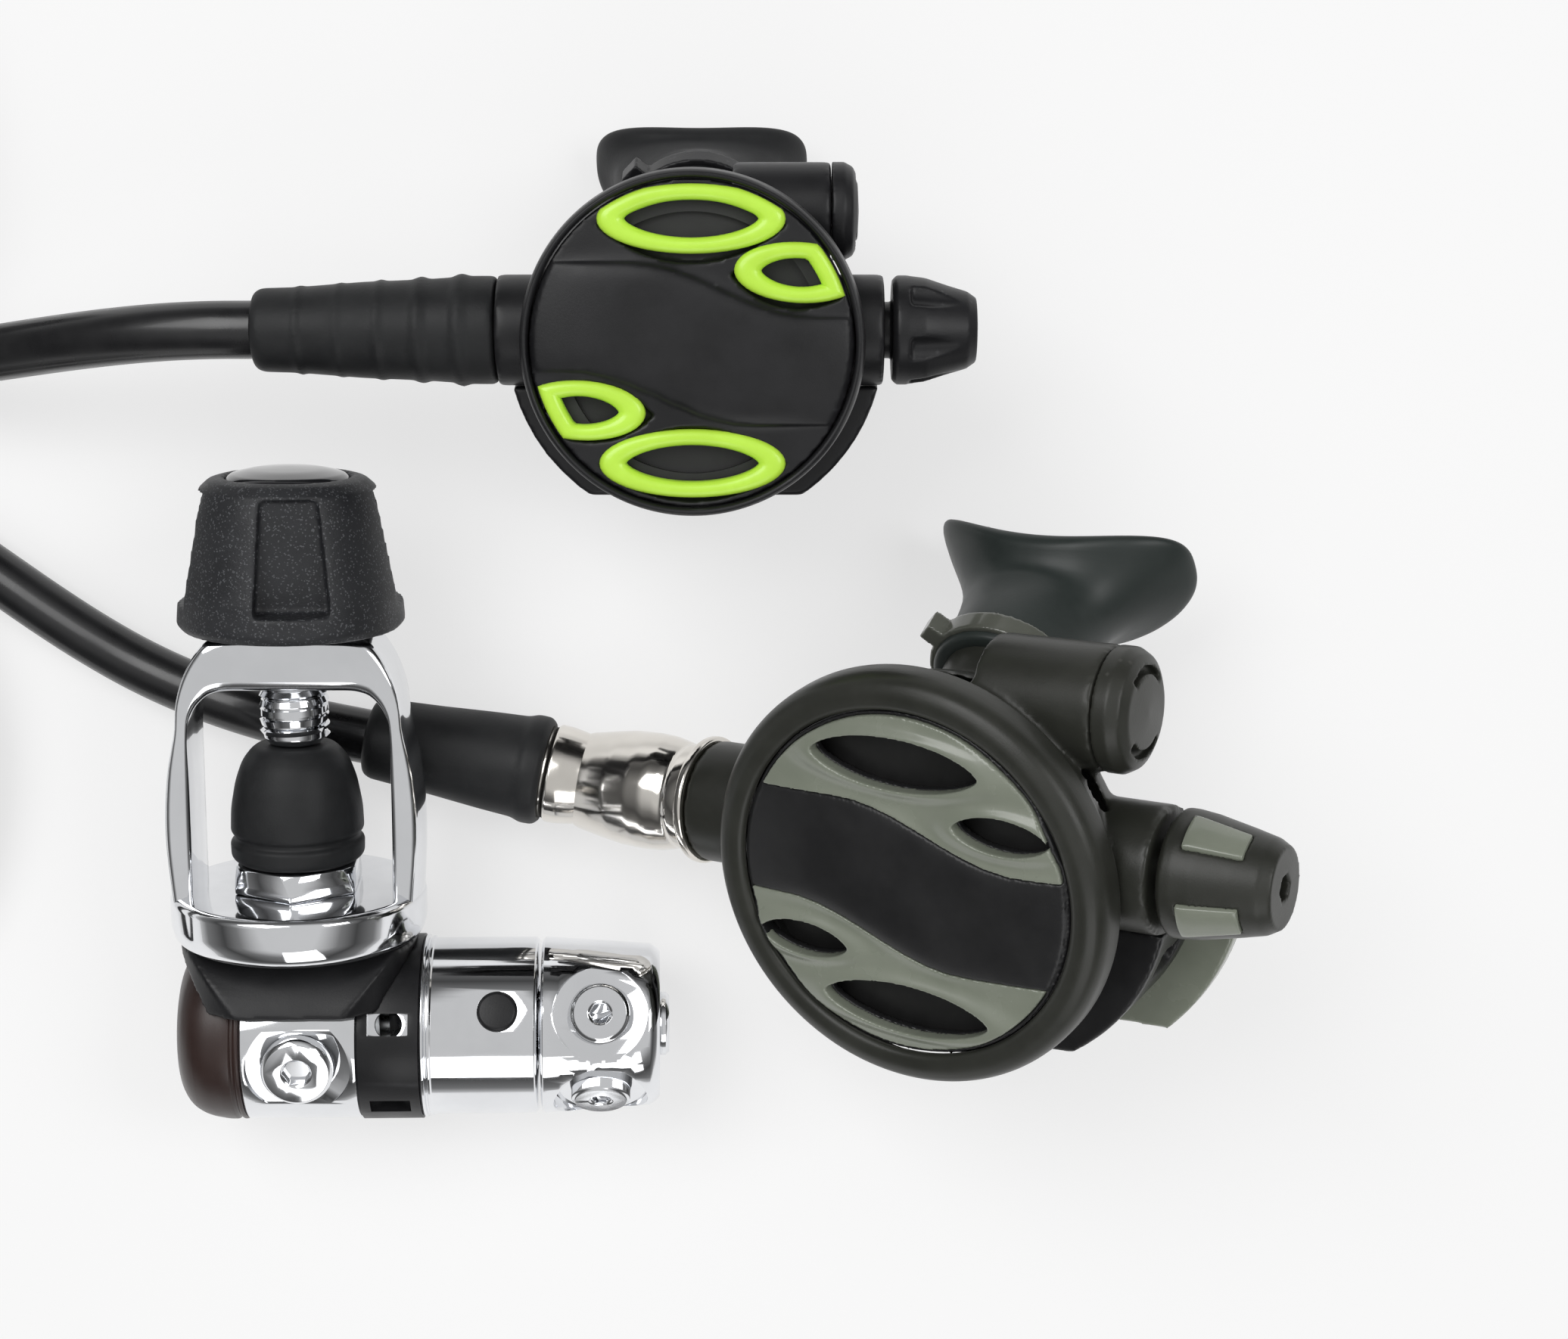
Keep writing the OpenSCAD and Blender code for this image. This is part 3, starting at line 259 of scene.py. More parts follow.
# Per finish: colour and second shade, roughness range, grain scale and depth, size of the patches
finishes = {
    "chrome": {
        "base": (0.84, 0.85, 0.87), "shade": (0.78, 0.79, 0.81), "metal": 1, "rough": (0.04, 0.1),
        "grain": (900, 0.0), "patch": 45},
    "nickel": {
        "base": (0.80, 0.77, 0.72), "shade": (0.74, 0.71, 0.66), "metal": 1, "rough": (0.09, 0.17),
        "grain": (900, 0.000001), "patch": 60},
    "steel": {
        "base": (0.6, 0.61, 0.62), "shade": (0.5, 0.51, 0.52), "metal": 1, "rough": (0.22, 0.34),
        "grain": (2500, 0.000004), "patch": 90},
    "bronze": {
        "base": (0.58, 0.4, 0.2), "shade": (0.42, 0.28, 0.14), "metal": 1, "rough": (0.4, 0.55),
        "grain": (3500, 0.00003), "patch": 200},
    "black_plastic": {
        "base": (0.0085, 0.0085, 0.0095), "shade": (0.0125, 0.0125, 0.014), "gloss": 0.34,
        "rough": (0.34, 0.44), "grain": (2200, 0.000018), "patch": 70, "wear": (0.07, 0.07, 0.075)},
    "panel_black": {
        "base": (0.012, 0.012, 0.0128), "shade": (0.017, 0.017, 0.0178), "gloss": 0.36,
        "rough": (0.3, 0.4), "grain": (2200, 0.000016), "patch": 60, "wear": (0.08, 0.08, 0.08)},
    "knob_plastic": {
        "base": (0.015, 0.0157, 0.018), "shade": (0.022, 0.023, 0.026), "gloss": 0.4,
        "rough": (0.42, 0.55), "grain": (2600, 0.00006), "patch": 80, "flecks": (0.085, 0.088, 0.095)},
    "gloss_black": {
        "base": (0.012, 0.012, 0.014), "shade": (0.016, 0.016, 0.018), "rough": (0.08, 0.14),
        "grain": (500, 0.0), "patch": 50, "coat": 0.6},
    "brown_rubber": {
        "base": (0.026, 0.013, 0.011), "shade": (0.034, 0.018, 0.015), "rough": (0.3, 0.42),
        "grain": (1600, 0.000012), "patch": 70},
    "black_rubber": {
        "base": (0.012, 0.0125, 0.0135), "shade": (0.018, 0.0187, 0.0197), "gloss": 0.3,
        "rough": (0.46, 0.58), "grain": (1800, 0.00003), "patch": 90},
    "hose_rubber": {
        "base": (0.0085, 0.0085, 0.0095), "shade": (0.013, 0.013, 0.014), "rough": (0.24, 0.34),
        "grain": (1200, 0.00001), "patch": 60, "coat": 0.15},
    "olive_plastic": {
        "base": (0.024, 0.025, 0.0205), "shade": (0.031, 0.032, 0.0265), "gloss": 0.36,
        "rough": (0.32, 0.42), "grain": (2200, 0.000018), "patch": 60, "wear": (0.1, 0.1, 0.09)},
    "sage_plastic": {
        "base": (0.205, 0.225, 0.178), "shade": (0.235, 0.255, 0.205), "rough": (0.2, 0.3),
        "grain": (1500, 0.000006), "patch": 55, "coat": 0.35},
    "tie_plastic": {
        "base": (0.095, 0.1, 0.083), "shade": (0.12, 0.125, 0.105), "rough": (0.14, 0.22),
        "grain": (1500, 0.000004), "patch": 60, "coat": 0.5},
    "olive_rubber": {
        "base": (0.021, 0.0275, 0.0255), "shade": (0.028, 0.0355, 0.033), "gloss": 0.38,
        "rough": (0.34, 0.46), "grain": (1500, 0.000014), "patch": 50},
    "lime_plastic": {
        "base": (0.58, 0.95, 0.075), "shade": (0.54, 0.88, 0.06), "rough": (0.3, 0.4),
        "grain": (1800, 0.000008), "patch": 90, "coat": 0.2},
    "silicone": {
        "base": (0.012, 0.012, 0.012), "shade": (0.018, 0.018, 0.018), "rough": (0.4, 0.5),
        "grain": (1500, 0.00001), "patch": 80},
}


def placeGroup(tree, group, values):
    node = tree.nodes.new("ShaderNodeGroup")
    node.node_tree = group
    for name, value in values.items():
        node.inputs[name].default_value = value
    return node


def tintBy(tree, colour, maskOut, tint):
    mix = tree.nodes.new("ShaderNodeMix")
    mix.data_type = "RGBA"
    mix.inputs["B"].default_value = (*tint, 1)
    link(tree, maskOut, mix.inputs["Factor"])
    link(tree, colour, mix.inputs["A"])
    return mix.outputs["Result"]


def buildFinish(name, look):
    material = bpy.data.materials.new(name)
    material.use_nodes = True
    tree = material.node_tree
    shader = tree.nodes["Principled BSDF"]
    shader.inputs["Metallic"].default_value = look.get("metal", 0)
    shader.inputs["Coat Weight"].default_value = look.get("coat", 0)
    shader.inputs["Coat Roughness"].default_value = 0.08
    shader.inputs["Specular IOR Level"].default_value = look.get("gloss", 0.5)
    grain = placeGroup(tree, grainGroup, {
        "Base": (*look["base"], 1), "Shade": (*look["shade"], 1), "Grain Scale": look["grain"][0],
        "Grain Depth": look["grain"][1], "Patch Scale": look["patch"], "Rough Low": look["rough"][0],
        "Rough High": look["rough"][1]})
    colour = grain.outputs["Color"]
    if "flecks" in look:
        flecks = placeGroup(tree, fleckGroup, {})
        colour = tintBy(tree, colour, flecks.outputs["Mask"], look["flecks"])
    if "wear" in look:
        wear = placeGroup(tree, wearGroup, {})
        colour = tintBy(tree, colour, wear.outputs["Mask"], look["wear"])
    link(tree, colour, shader.inputs["Base Color"])
    link(tree, grain.outputs["Roughness"], shader.inputs["Roughness"])
    link(tree, grain.outputs["Normal"], shader.inputs["Normal"])
    return material


materials = {name: buildFinish(name, look) for name, look in finishes.items()}
warmNodes = ["primary_swivel_housing", "primary_inlet_ring", "primary_swivel_ball"]


def finishOf(node):
    return materials["nickel" if node in warmNodes else slotOf[node]]


for node, cadObject in frame["nodes"].items():
    cadObject.data.materials.clear()
    cadObject.data.materials.append(finishOf(node))
print("stage: materials")


def meshFrom(bm, name):
    mesh = bpy.data.meshes.new(name)
    bm.to_mesh(mesh)
    bm.free()
    return mesh


def addPiece(name, mesh, node, sharp=35):
    piece = bpy.data.objects.new(name, mesh)
    bpy.context.scene.collection.objects.link(piece)
    if not mesh.materials:
        mesh.materials.append(finishOf(node))
    mesh.shade_smooth()
    mesh.set_sharp_from_angle(angle=math.radians(sharp))
    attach(piece, bodyOf[node])
    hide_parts(node)
    return piece


def soften(points, reach, steps=4):
    result = [Vector(points[0])]
    for before, corner, after in zip(points, points[1:], points[2:]):
        corner = Vector(corner)
        a, b = Vector(before) - corner, Vector(after) - corner
        cut = min(reach, a.length * 0.48, b.length * 0.48)
        start, end = corner + a.normalized() * cut, corner + b.normalized() * cut
        for i in range(steps + 1):
            t = i / steps
            result.append(start * (1 - t) ** 2 + corner * 2 * t * (1 - t) + end * t * t)
    result.append(Vector(points[-1]))
    return result


def lathe(bm, profile, place, steps=96):
    rows = []
    for radius, station in profile:
        if radius < 1e-6:
            rows.append([bm.verts.new(place @ Vector((0, 0, station)))])
        else:
            turns = [2 * math.pi * k / steps for k in range(steps)]
            rows.append([bm.verts.new(place @ Vector((radius * math.cos(a), radius * math.sin(a), station)))
                         for a in turns])
    for lower, upper in zip(rows, rows[1:]):
        for k in range(steps):
            n = (k + 1) % steps
            corners = [lower[k % len(lower)], lower[n % len(lower)],
                       upper[n % len(upper)], upper[k % len(upper)]]
            corners = [v for i, v in enumerate(corners) if v not in corners[:i]]
            if len(corners) > 2:
                bm.faces.new(corners)


def loft(bm, rings, closed=False):
    rows = [[bm.verts.new(p) for p in ring] for ring in rings]
    count = len(rows[0])
    for lower, upper in list(zip(rows, rows[1:])) + ([(rows[-1], rows[0])] if closed else []):
        for k in range(count):
            n = (k + 1) % count
            bm.faces.new([lower[k], lower[n], upper[n], upper[k]])
    if not closed:
        bm.faces.new(rows[0])
        bm.faces.new(list(reversed(rows[-1])))


def outward(bm):
    bmesh.ops.remove_doubles(bm, verts=bm.verts, dist=1e-7)
    bmesh.ops.recalc_face_normals(bm, faces=bm.faces)
    return bm


def cadCopy(node):
    bm = bmesh.new()
    bm.from_mesh(frame["nodes"][node].data)
    bmesh.ops.remove_doubles(bm, verts=bm.verts, dist=1e-6)
    return bm


def applied(name, mesh, modifiers):
    helper = bpy.data.objects.new(name + "Helper", mesh)
    bpy.context.scene.collection.objects.link(helper)
    for kind, settings in modifiers:
        modifier = helper.modifiers.new(kind.title(), kind)
        for key, value in settings.items():
            setattr(modifier, key, value)
    graph = bpy.context.evaluated_depsgraph_get()
    result = bpy.data.meshes.new_from_object(helper.evaluated_get(graph))
    bpy.data.objects.remove(helper)
    return result


def machined(node, bevel):
    bm = cadCopy(node)
    bmesh.ops.dissolve_limit(bm, angle_limit=math.radians(0.6), verts=bm.verts, edges=bm.edges)
    mesh = applied(node, meshFrom(bm, node + "Edges"), [("BEVEL", {
        "width": bevel * mm, "segments": 2, "limit_method": "ANGLE", "angle_limit": math.radians(38),
        "use_clamp_overlap": True, "harden_normals": False})])
    return addPiece(node + "_machined", mesh, node, sharp=30)


def moulded(node, voxel, rounds, change=None, cut=None):
    steps = [("REMESH", {"mode": "VOXEL", "voxel_size": voxel * mm}),
             ("SMOOTH", {"factor": 0.5, "iterations": rounds})]
    if cut:
        tool = bpy.data.objects.new("cutTool", cut)
        bpy.context.scene.collection.objects.link(tool)
        steps.insert(0, ("BOOLEAN", {"operation": "DIFFERENCE", "solver": "EXACT", "object": tool}))
    mesh = applied(node, meshFrom(cadCopy(node), node + "Mould"), steps)
    if cut:
        bpy.data.objects.remove(tool)
    if change:
        for vertex in mesh.vertices:
            vertex.co = change(vertex.co)
    mesh.materials.clear()
    return addPiece(node + "_moulded", mesh, node, sharp=60)


def revolved(name, node, profile, place, reach=0.6, steps=96):
    bm = bmesh.new()
    lathe(bm, soften(profile, reach), place, steps)
    return addPiece(name, meshFrom(outward(bm), name), node, sharp=50)


hoses = {
    "diameter": 12.5,
    "coilX": -264.0, "lay": 6.6, "turnRise": 13.55, "climbFrom": 0.42, "climbOver": 0.31, "endRun": 30.0,
    # coil: where it begins, way it winds, radius and turns
    "primary": {
        "length": 0.80, "coil": (52.0, 1, 75.0, 1.25),
        "route": [
            (-94.7, -15.5, 11.8), (-104, -13.7, 11.2), (-113, -11.8, 10.2), (-122, -9.4, 9.1),
            (-131, -6.5, 8.1), (-141, -2.6, 7.3), (-151, 2.2, 6.6), (-161, 8, 6.6), (-171, 14.5, 6.6),
            (-181, 21.4, 6.6), (-191, 28.3, 6.6), (-202, 35.3, 6.6), (-213, 41.4, 6.6),
            (-225, 46.6, 6.6), (-238, 50.3, 6.6), (-252, 51.9, 6.6)],
    },
    "alternate": {
        "length": 1.04, "coil": (66.2, -1, 60.6, 2.25),
        "route": [
            (-113.1, 72.7, 50.6), (-123, 72.7, 50.1), (-133, 72.5, 48.3), (-143, 72.1, 45.2),
            (-153, 71.6, 41), (-163, 71, 36.3), (-173, 70.3, 31.5), (-183, 69.6, 26.8),
            (-194, 68.8, 21.9), (-206, 68, 16.9), (-219, 67.3, 12), (-233, 66.7, 8.6), (-248, 66.3, 6.9)],
    },
}


def layerAt(turn):
    rise = 0
    for k in (1, 2, 3):
        share = min(1.0, max(0.0, (turn - k + hoses["climbFrom"]) / hoses["climbOver"]))
        rise += hoses["turnRise"] * share * share * (3 - 2 * share)
    return rise


def coilPoints(top, way, radius, turns):
    # Turn upon turn: each climbs onto the one below before it meets its start
    perTurn = 24
    count = round(turns * perTurn)
    points = []
    for i in range(count + 1):
        a = math.radians(90 + 360 * i / perTurn)
        points.append((radius * math.cos(a), radius * math.sin(a), layerAt(i / perTurn)))
    x, y, z = points[-1]
    for k in (1, 2, 3):
        s = hoses["endRun"] * k / 3
        points.append((x - s * math.sin(a), y + s * math.cos(a), z))
    line = [Vector((hoses["coilX"] + x, top + way * (y - radius), hoses["lay"] + z)) for x, y, z in points]
    return line, (line[-1] - line[-2]).normalized()


def fineLine(points, parts=4):
    ends = [points[0] * 2 - points[1]] + points + [points[-1] * 2 - points[-2]]
    result = []
    for p0, p1, p2, p3 in zip(ends, ends[1:], ends[2:], ends[3:]):
        for i in range(parts):
            t = i / parts
            result.append(0.5 * (2 * p1 + (p2 - p0) * t + (2 * p0 - 5 * p1 + 4 * p2 - p3) * t * t
                                 + (3 * p1 - p0 - 3 * p2 + p3) * t ** 3))
    return result + [points[-1]]


def makeHose(unit):
    own = hoses[unit]
    coil, heading = coilPoints(*own["coil"])
    line = [(p + Vector(layout["set"])) * mm for p in fineLine([Vector(p) for p in own["route"]] + coil)]
    curve = bpy.data.curves.new(unit + "HoseLine", "CURVE")
    curve.dimensions = "3D"
    curve.bevel_depth = hoses["diameter"] / 2 * mm
    curve.bevel_resolution = 8
    curve.use_fill_caps = True
    spline = curve.splines.new("POLY")
    spline.points.add(len(line) - 1)
    for point, place in zip(spline.points, line):
        point.co = (*place, 1)
    curve.materials.append(materials["hose_rubber"])
    piece = bpy.data.objects.new(unit + "_hose_run", curve)
    bpy.context.scene.collection.objects.link(piece)
    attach(piece, "base")
    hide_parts(unit + "_hose", unit + "_hose_coil")
    return piece, line, heading


hosePieces = {unit: makeHose(unit) for unit in ("primary", "alternate")}


def patternTree(name, inputs):
    tree = bpy.data.node_groups.new(name, "GeometryNodeTree")
    tree.interface.new_socket("Geometry", in_out="INPUT", socket_type="NodeSocketGeometry")
    for socketName, kind, value in inputs:
        tree.interface.new_socket(socketName, in_out="INPUT", socket_type=kind).default_value = value
    tree.interface.new_socket("Material", in_out="INPUT", socket_type="NodeSocketMaterial")
    tree.interface.new_socket("Geometry", in_out="OUTPUT", socket_type="NodeSocketGeometry")
    return tree, tree.nodes.new("NodeGroupInput"), tree.nodes.new("NodeGroupOutput")


def ringTree():
    tree, given, result = patternTree("ringRow", [
        ("Count", "NodeSocketInt", 5), ("Spacing", "NodeSocketFloat", 4.0),
        ("First Radius", "NodeSocketFloat", 10.0), ("Last Radius", "NodeSocketFloat", 9.0),
        ("Wire", "NodeSocketFloat", 1.0)])
    rail = tree.nodes.new("GeometryNodeMeshLine")
    step = tree.nodes.new("ShaderNodeCombineXYZ")
    ring = tree.nodes.new("GeometryNodeCurvePrimitiveCircle")
    ring.inputs["Resolution"].default_value = 72
    ring.inputs["Radius"].default_value = 1
    index = tree.nodes.new("GeometryNodeInputIndex")
    last = mathNode(tree, "SUBTRACT")
    last.inputs[1].default_value = 1
    size = tree.nodes.new("ShaderNodeMapRange")
    place = tree.nodes.new("GeometryNodeInstanceOnPoints")
    real = tree.nodes.new("GeometryNodeRealizeInstances")
    wire = tree.nodes.new("GeometryNodeCurvePrimitiveCircle")
    wire.inputs["Resolution"].default_value = 10
    skin = tree.nodes.new("GeometryNodeCurveToMesh")
    paint = tree.nodes.new("GeometryNodeSetMaterial")
    link(tree, given.outputs["Spacing"], step.inputs["Z"])
    link(tree, given.outputs["Count"], rail.inputs["Count"])
    link(tree, step.outputs[0], rail.inputs["Offset"])
    link(tree, rail.outputs[0], place.inputs["Points"])
    link(tree, ring.outputs[0], place.inputs["Instance"])
    link(tree, given.outputs["Count"], last.inputs[0])
    link(tree, index.outputs[0], size.inputs["Value"])
    link(tree, last.outputs[0], size.inputs["From Max"])
    link(tree, given.outputs["First Radius"], size.inputs["To Min"])
    link(tree, given.outputs["Last Radius"], size.inputs["To Max"])
    link(tree, size.outputs[0], place.inputs["Scale"])
    link(tree, place.outputs[0], real.inputs[0])
    link(tree, real.outputs[0], skin.inputs["Curve"])
    link(tree, given.outputs["Wire"], wire.inputs["Radius"])
    link(tree, wire.outputs[0], skin.inputs["Profile Curve"])
    link(tree, skin.outputs[0], paint.inputs["Geometry"])
    link(tree, given.outputs["Material"], paint.inputs["Material"])
    link(tree, paint.outputs[0], result.inputs[0])
    return tree


def threadTree():
    tree, given, result = patternTree("screwThread", [
        ("Turns", "NodeSocketFloat", 8.0), ("Radius", "NodeSocketFloat", 7.0),
        ("Length", "NodeSocketFloat", 20.0), ("Depth", "NodeSocketFloat", 0.8),
        ("Steps", "NodeSocketInt", 400)])
    line = tree.nodes.new("GeometryNodeMeshLine")
    line.mode = "OFFSET"
    index = tree.nodes.new("GeometryNodeInputIndex")
    share = mathNode(tree, "DIVIDE")
    angle, turn, x, y, z = [mathNode(tree, "MULTIPLY") for _ in range(5)]
    turn.inputs[1].default_value = 2 * math.pi
    cosine, sine = mathNode(tree, "COSINE"), mathNode(tree, "SINE")
    point = tree.nodes.new("ShaderNodeCombineXYZ")
    move = tree.nodes.new("GeometryNodeSetPosition")
    curve = tree.nodes.new("GeometryNodeMeshToCurve")
    profile = tree.nodes.new("GeometryNodeCurvePrimitiveCircle")
    profile.inputs["Resolution"].default_value = 4
    skin = tree.nodes.new("GeometryNodeCurveToMesh")
    skin.inputs["Fill Caps"].default_value = True
    paint = tree.nodes.new("GeometryNodeSetMaterial")
    link(tree, given.outputs["Steps"], line.inputs["Count"])
    link(tree, index.outputs[0], share.inputs[0])
    link(tree, given.outputs["Steps"], share.inputs[1])
    link(tree, share.outputs[0], angle.inputs[0])
    link(tree, given.outputs["Turns"], angle.inputs[1])
    link(tree, angle.outputs[0], turn.inputs[0])
    link(tree, turn.outputs[0], cosine.inputs[0])
    link(tree, turn.outputs[0], sine.inputs[0])
    link(tree, cosine.outputs[0], x.inputs[0])
    link(tree, sine.outputs[0], y.inputs[0])
    link(tree, share.outputs[0], z.inputs[0])
    link(tree, given.outputs["Radius"], x.inputs[1])
    link(tree, given.outputs["Radius"], y.inputs[1])
    link(tree, given.outputs["Length"], z.inputs[1])
    for node, socket in ((x, "X"), (y, "Y"), (z, "Z")):
        link(tree, node.outputs[0], point.inputs[socket])
    link(tree, line.outputs[0], move.inputs["Geometry"])
    link(tree, point.outputs[0], move.inputs["Position"])
    link(tree, move.outputs[0], curve.inputs[0])
    link(tree, curve.outputs[0], skin.inputs["Curve"])
    link(tree, given.outputs["Depth"], profile.inputs["Radius"])
    link(tree, profile.outputs[0], skin.inputs["Profile Curve"])
    link(tree, skin.outputs[0], paint.inputs["Geometry"])
    link(tree, given.outputs["Material"], paint.inputs["Material"])
    link(tree, paint.outputs[0], result.inputs[0])
    return tree


ringRow, screwThread = ringTree(), threadTree()


def repeated(bm, tree, place, values, material):
    helper = bpy.data.objects.new("pattern", bpy.data.meshes.new("pattern"))
    bpy.context.scene.collection.objects.link(helper)
    modifier = helper.modifiers.new("pattern", "NODES")
    modifier.node_group = tree
    sockets = {item.name: item.identifier for item in tree.interface.items_tree if item.in_out == "INPUT"}
    for name, value in {**values, "Material": material}.items():
        modifier[sockets[name]] = value
    mesh = bpy.data.meshes.new_from_object(helper.evaluated_get(bpy.context.evaluated_depsgraph_get()))
    mesh.transform(place)
    bm.from_mesh(mesh)
    bpy.data.objects.remove(helper)


fitting = {"ferrule": 6.6, "hexagon": 7.4, "pin": 4.0, "turns": 7, "stepsPerTurn": 30}


def makeFitting(unit):
    piece, line, heading = hosePieces[unit]
    turn = Vector((0, 0, 1)).rotation_difference(heading).to_matrix().to_4x4()
    place = Matrix.Translation(line[-1]) @ turn @ Matrix.Scale(mm, 4)
    bm = bmesh.new()
    ferrule, hexagon, pin = fitting["ferrule"], fitting["hexagon"], fitting["pin"]
    sleeve = [(0, 0.0), (6.3, 0.0), (ferrule, 0.8), (ferrule, 9.2), (6.0, 10.2), (0, 10.2)]
    nose = [(0, 15.8), (pin, 15.8), (pin, 23.4), (3.3, 24.1), (1.8, 24.1), (1.8, 20.0), (0, 20.0)]
    lathe(bm, soften(sleeve, 0.5), place)
    hexRings = []
    for station, radius in ((10.0, 6.6), (10.6, hexagon), (15.5, hexagon), (16.1, 6.6)):
        hexRings.append([place @ Vector((radius * math.cos(a), radius * math.sin(a), station))
                         for a in [math.radians(30 + 60 * k) for k in range(6)]])
    loft(bm, hexRings)
    lathe(bm, soften(nose, 0.3), place)
    outward(bm)
    chrome = materials["chrome"]
    repeated(bm, ringRow, place @ Matrix.Translation((0, 0, 2.6)),
             {"Count": 3, "Spacing": 2.4, "First Radius": ferrule, "Last Radius": ferrule, "Wire": 0.45},
             chrome)
    repeated(bm, screwThread, place @ Matrix.Translation((0, 0, 17.4)),
             {"Turns": fitting["turns"], "Radius": pin + 0.1, "Length": 5.6, "Depth": 0.55,
              "Steps": fitting["stepsPerTurn"] * fitting["turns"]}, chrome)
    return addPiece(unit + "_end_fitting", meshFrom(bm, unit + "EndFitting"), unit + "_hose_fitting")


for unit, (piece, line, heading) in hosePieces.items():
    end = makeFitting(unit)
print("stage: hoses")


barrel = {"radius": 20.4, "bodyStart": -11.5, "capLength": 15.0}


def makeEndCap():
    r, x1 = barrel["radius"], barrel["bodyStart"]
    x0 = x1 - barrel["capLength"]
    profile = [(0, x0), (9, x0), (14, x0 + 0.8), (17.6, x0 + 3), (19.6, x0 + 6.5), (r, x0 + 11),
               (r, x1 - 2.2), (r - 0.5, x1 - 1.8), (r - 0.5, x1 - 1.3), (r, x1 - 0.9),
               (r, x1 - 0.05), (0, x1 - 0.05)]
    revolved("end_cap_rubber", "end_cap", profile, firstFrame @ alongX, reach=3.0)


def makeDustCap():
    y, r = 39.3, 14.6
    profile = [(0, y), (r - 1.6, y), (r - 0.1, y + 1.2), (r, y + 4.4), (r - 0.9, y + 5.2),
               (r - 0.9, y + 6.0), (r - 0.1, y + 7), (r - 0.3, y + 12), (r - 1.4, y + 18),
               (r - 3, y + 22.5), (r - 5, y + 25),
               (r - 6.4, y + 26), (0, y + 26)]
    revolved("dust_cap_rubber", "dust_cap", profile, firstFrame @ alongY, reach=1.6)


yokeShape = {
    "halfDepth": 11.0, "round": 2.4, "bend": 28.0,
    # window side and outer side of the right half, from the base ring up to the top
    "inner": [(21.6, 31), (21.6, 45), (21.6, 58), (21.6, 70), (20.4, 74.5), (18, 77.4), (15.5, 78.6),
              (12.6, 79), (7, 79), (0, 79)],
    "outer": [(27.8, 31), (28.4, 47), (27.6, 60), (25.4, 71.5), (22.9, 80.5), (20.4, 86), (17.4, 89.6),
              (13.5, 91), (7, 91.4), (0, 91.4)],
    "ring": [(11.05, 22), (25.8, 22), (27.4, 23.4), (28, 26), (28, 32), (27, 33), (11.05, 33)],
}


def makeYoke():
    half = [(Vector((*i, 0)), Vector((*o, 0))) for i, o in zip(yokeShape["inner"], yokeShape["outer"])]
    other = [(Vector((-i.x, i.y, 0)), Vector((-o.x, o.y, 0))) for i, o in half[-2::-1]]
    inner = fineLine([i for i, o in half + other], 5)
    outer = fineLine([o for i, o in half + other], 5)
    depth, bend = yokeShape["halfDepth"], yokeShape["bend"]
    sag = bend - math.sqrt(bend ** 2 - depth ** 2)
    rings = []
    for i, o in zip(inner, outer):
        across = (o - i).normalized()
        thick = (o - i).length
        flat = abs(across.y)
        edge = thick - sag * (1 - flat)
        between = (edge + thick * 2) / 3
        outline = [(0, -depth), (edge * 0.5, -depth), (edge, -depth), (between, -depth * 0.55), (thick, 0),
                   (between, depth * 0.55), (edge, depth), (edge * 0.5, depth), (0, depth), (0, 0)]
        smooth = soften([Vector(p) for p in outline + outline[:2]], yokeShape["round"], 3)[1:-1]
        rings.append([firstFrame @ (i + across * s + Vector((0, 0, z))) for s, z in smooth])
    bm = bmesh.new()
    loft(bm, rings)
    lathe(bm, soften(yokeShape["ring"] + [yokeShape["ring"][0]], 0.9), firstFrame @ alongY, 128)
    addPiece("yoke_frame", meshFrom(outward(bm), "yokeFrame"), "yoke", sharp=40)


screw = {"radius": 7.4, "start": 65.6, "end": 107.4, "pitch": 2.0, "depth": 0.95, "lead": 2.0,
         "plain": 3.0, "stepsPerTurn": 40}


def makeScrew():
    r, y0, y1 = screw["radius"] - screw["depth"] * 0.75, screw["start"], screw["end"]
    place = firstFrame @ alongY
    bm = bmesh.new()
    lathe(bm, soften([(0, y0), (r - 1.2, y0), (r, y0 + 1.4), (r, y1), (0, y1)], 0.4), place)
    outward(bm)
    threaded = y1 - y0 - screw["plain"]
    turns = threaded / screw["pitch"]
    repeated(bm, screwThread, place @ Matrix.Translation((0, 0, y0 + screw["lead"])),
             {"Turns": turns, "Radius": r, "Length": threaded, "Depth": screw["depth"],
              "Steps": round(turns * screw["stepsPerTurn"])}, materials["chrome"])
    addPiece("clamp_screw", meshFrom(bm, "clampScrew"), "yoke_screw", sharp=25)


def makeKnobInsert():
    y = 122.45
    profile = [(0, y), (13.3, y), (13.3, y + 1.3), (12.2, y + 2.4), (8, y + 3.4), (0, y + 3.9)]
    revolved("knob_insert_dome", "knob_insert", profile, firstFrame @ alongY, reach=1.5)


makeEndCap()
makeDustCap()
makeYoke()
makeScrew()
makeKnobInsert()
moulded("yoke_knob", 0.55, 4)
moulded("saddle", 0.55, 3)
bevels = {"main_body": 0.3, "body_plugs": 0.3, "piston_sleeve": 0.3, "turret": 0.3, "turret_plugs": 0.3,
          "turret_end_plug": 0.3, "yoke_nut": 0.45, "ambient_band": 0.25, "sleeve_plug": 0.25}
for node, bevel in bevels.items():
    machined(node, bevel)
print("stage: first stage")


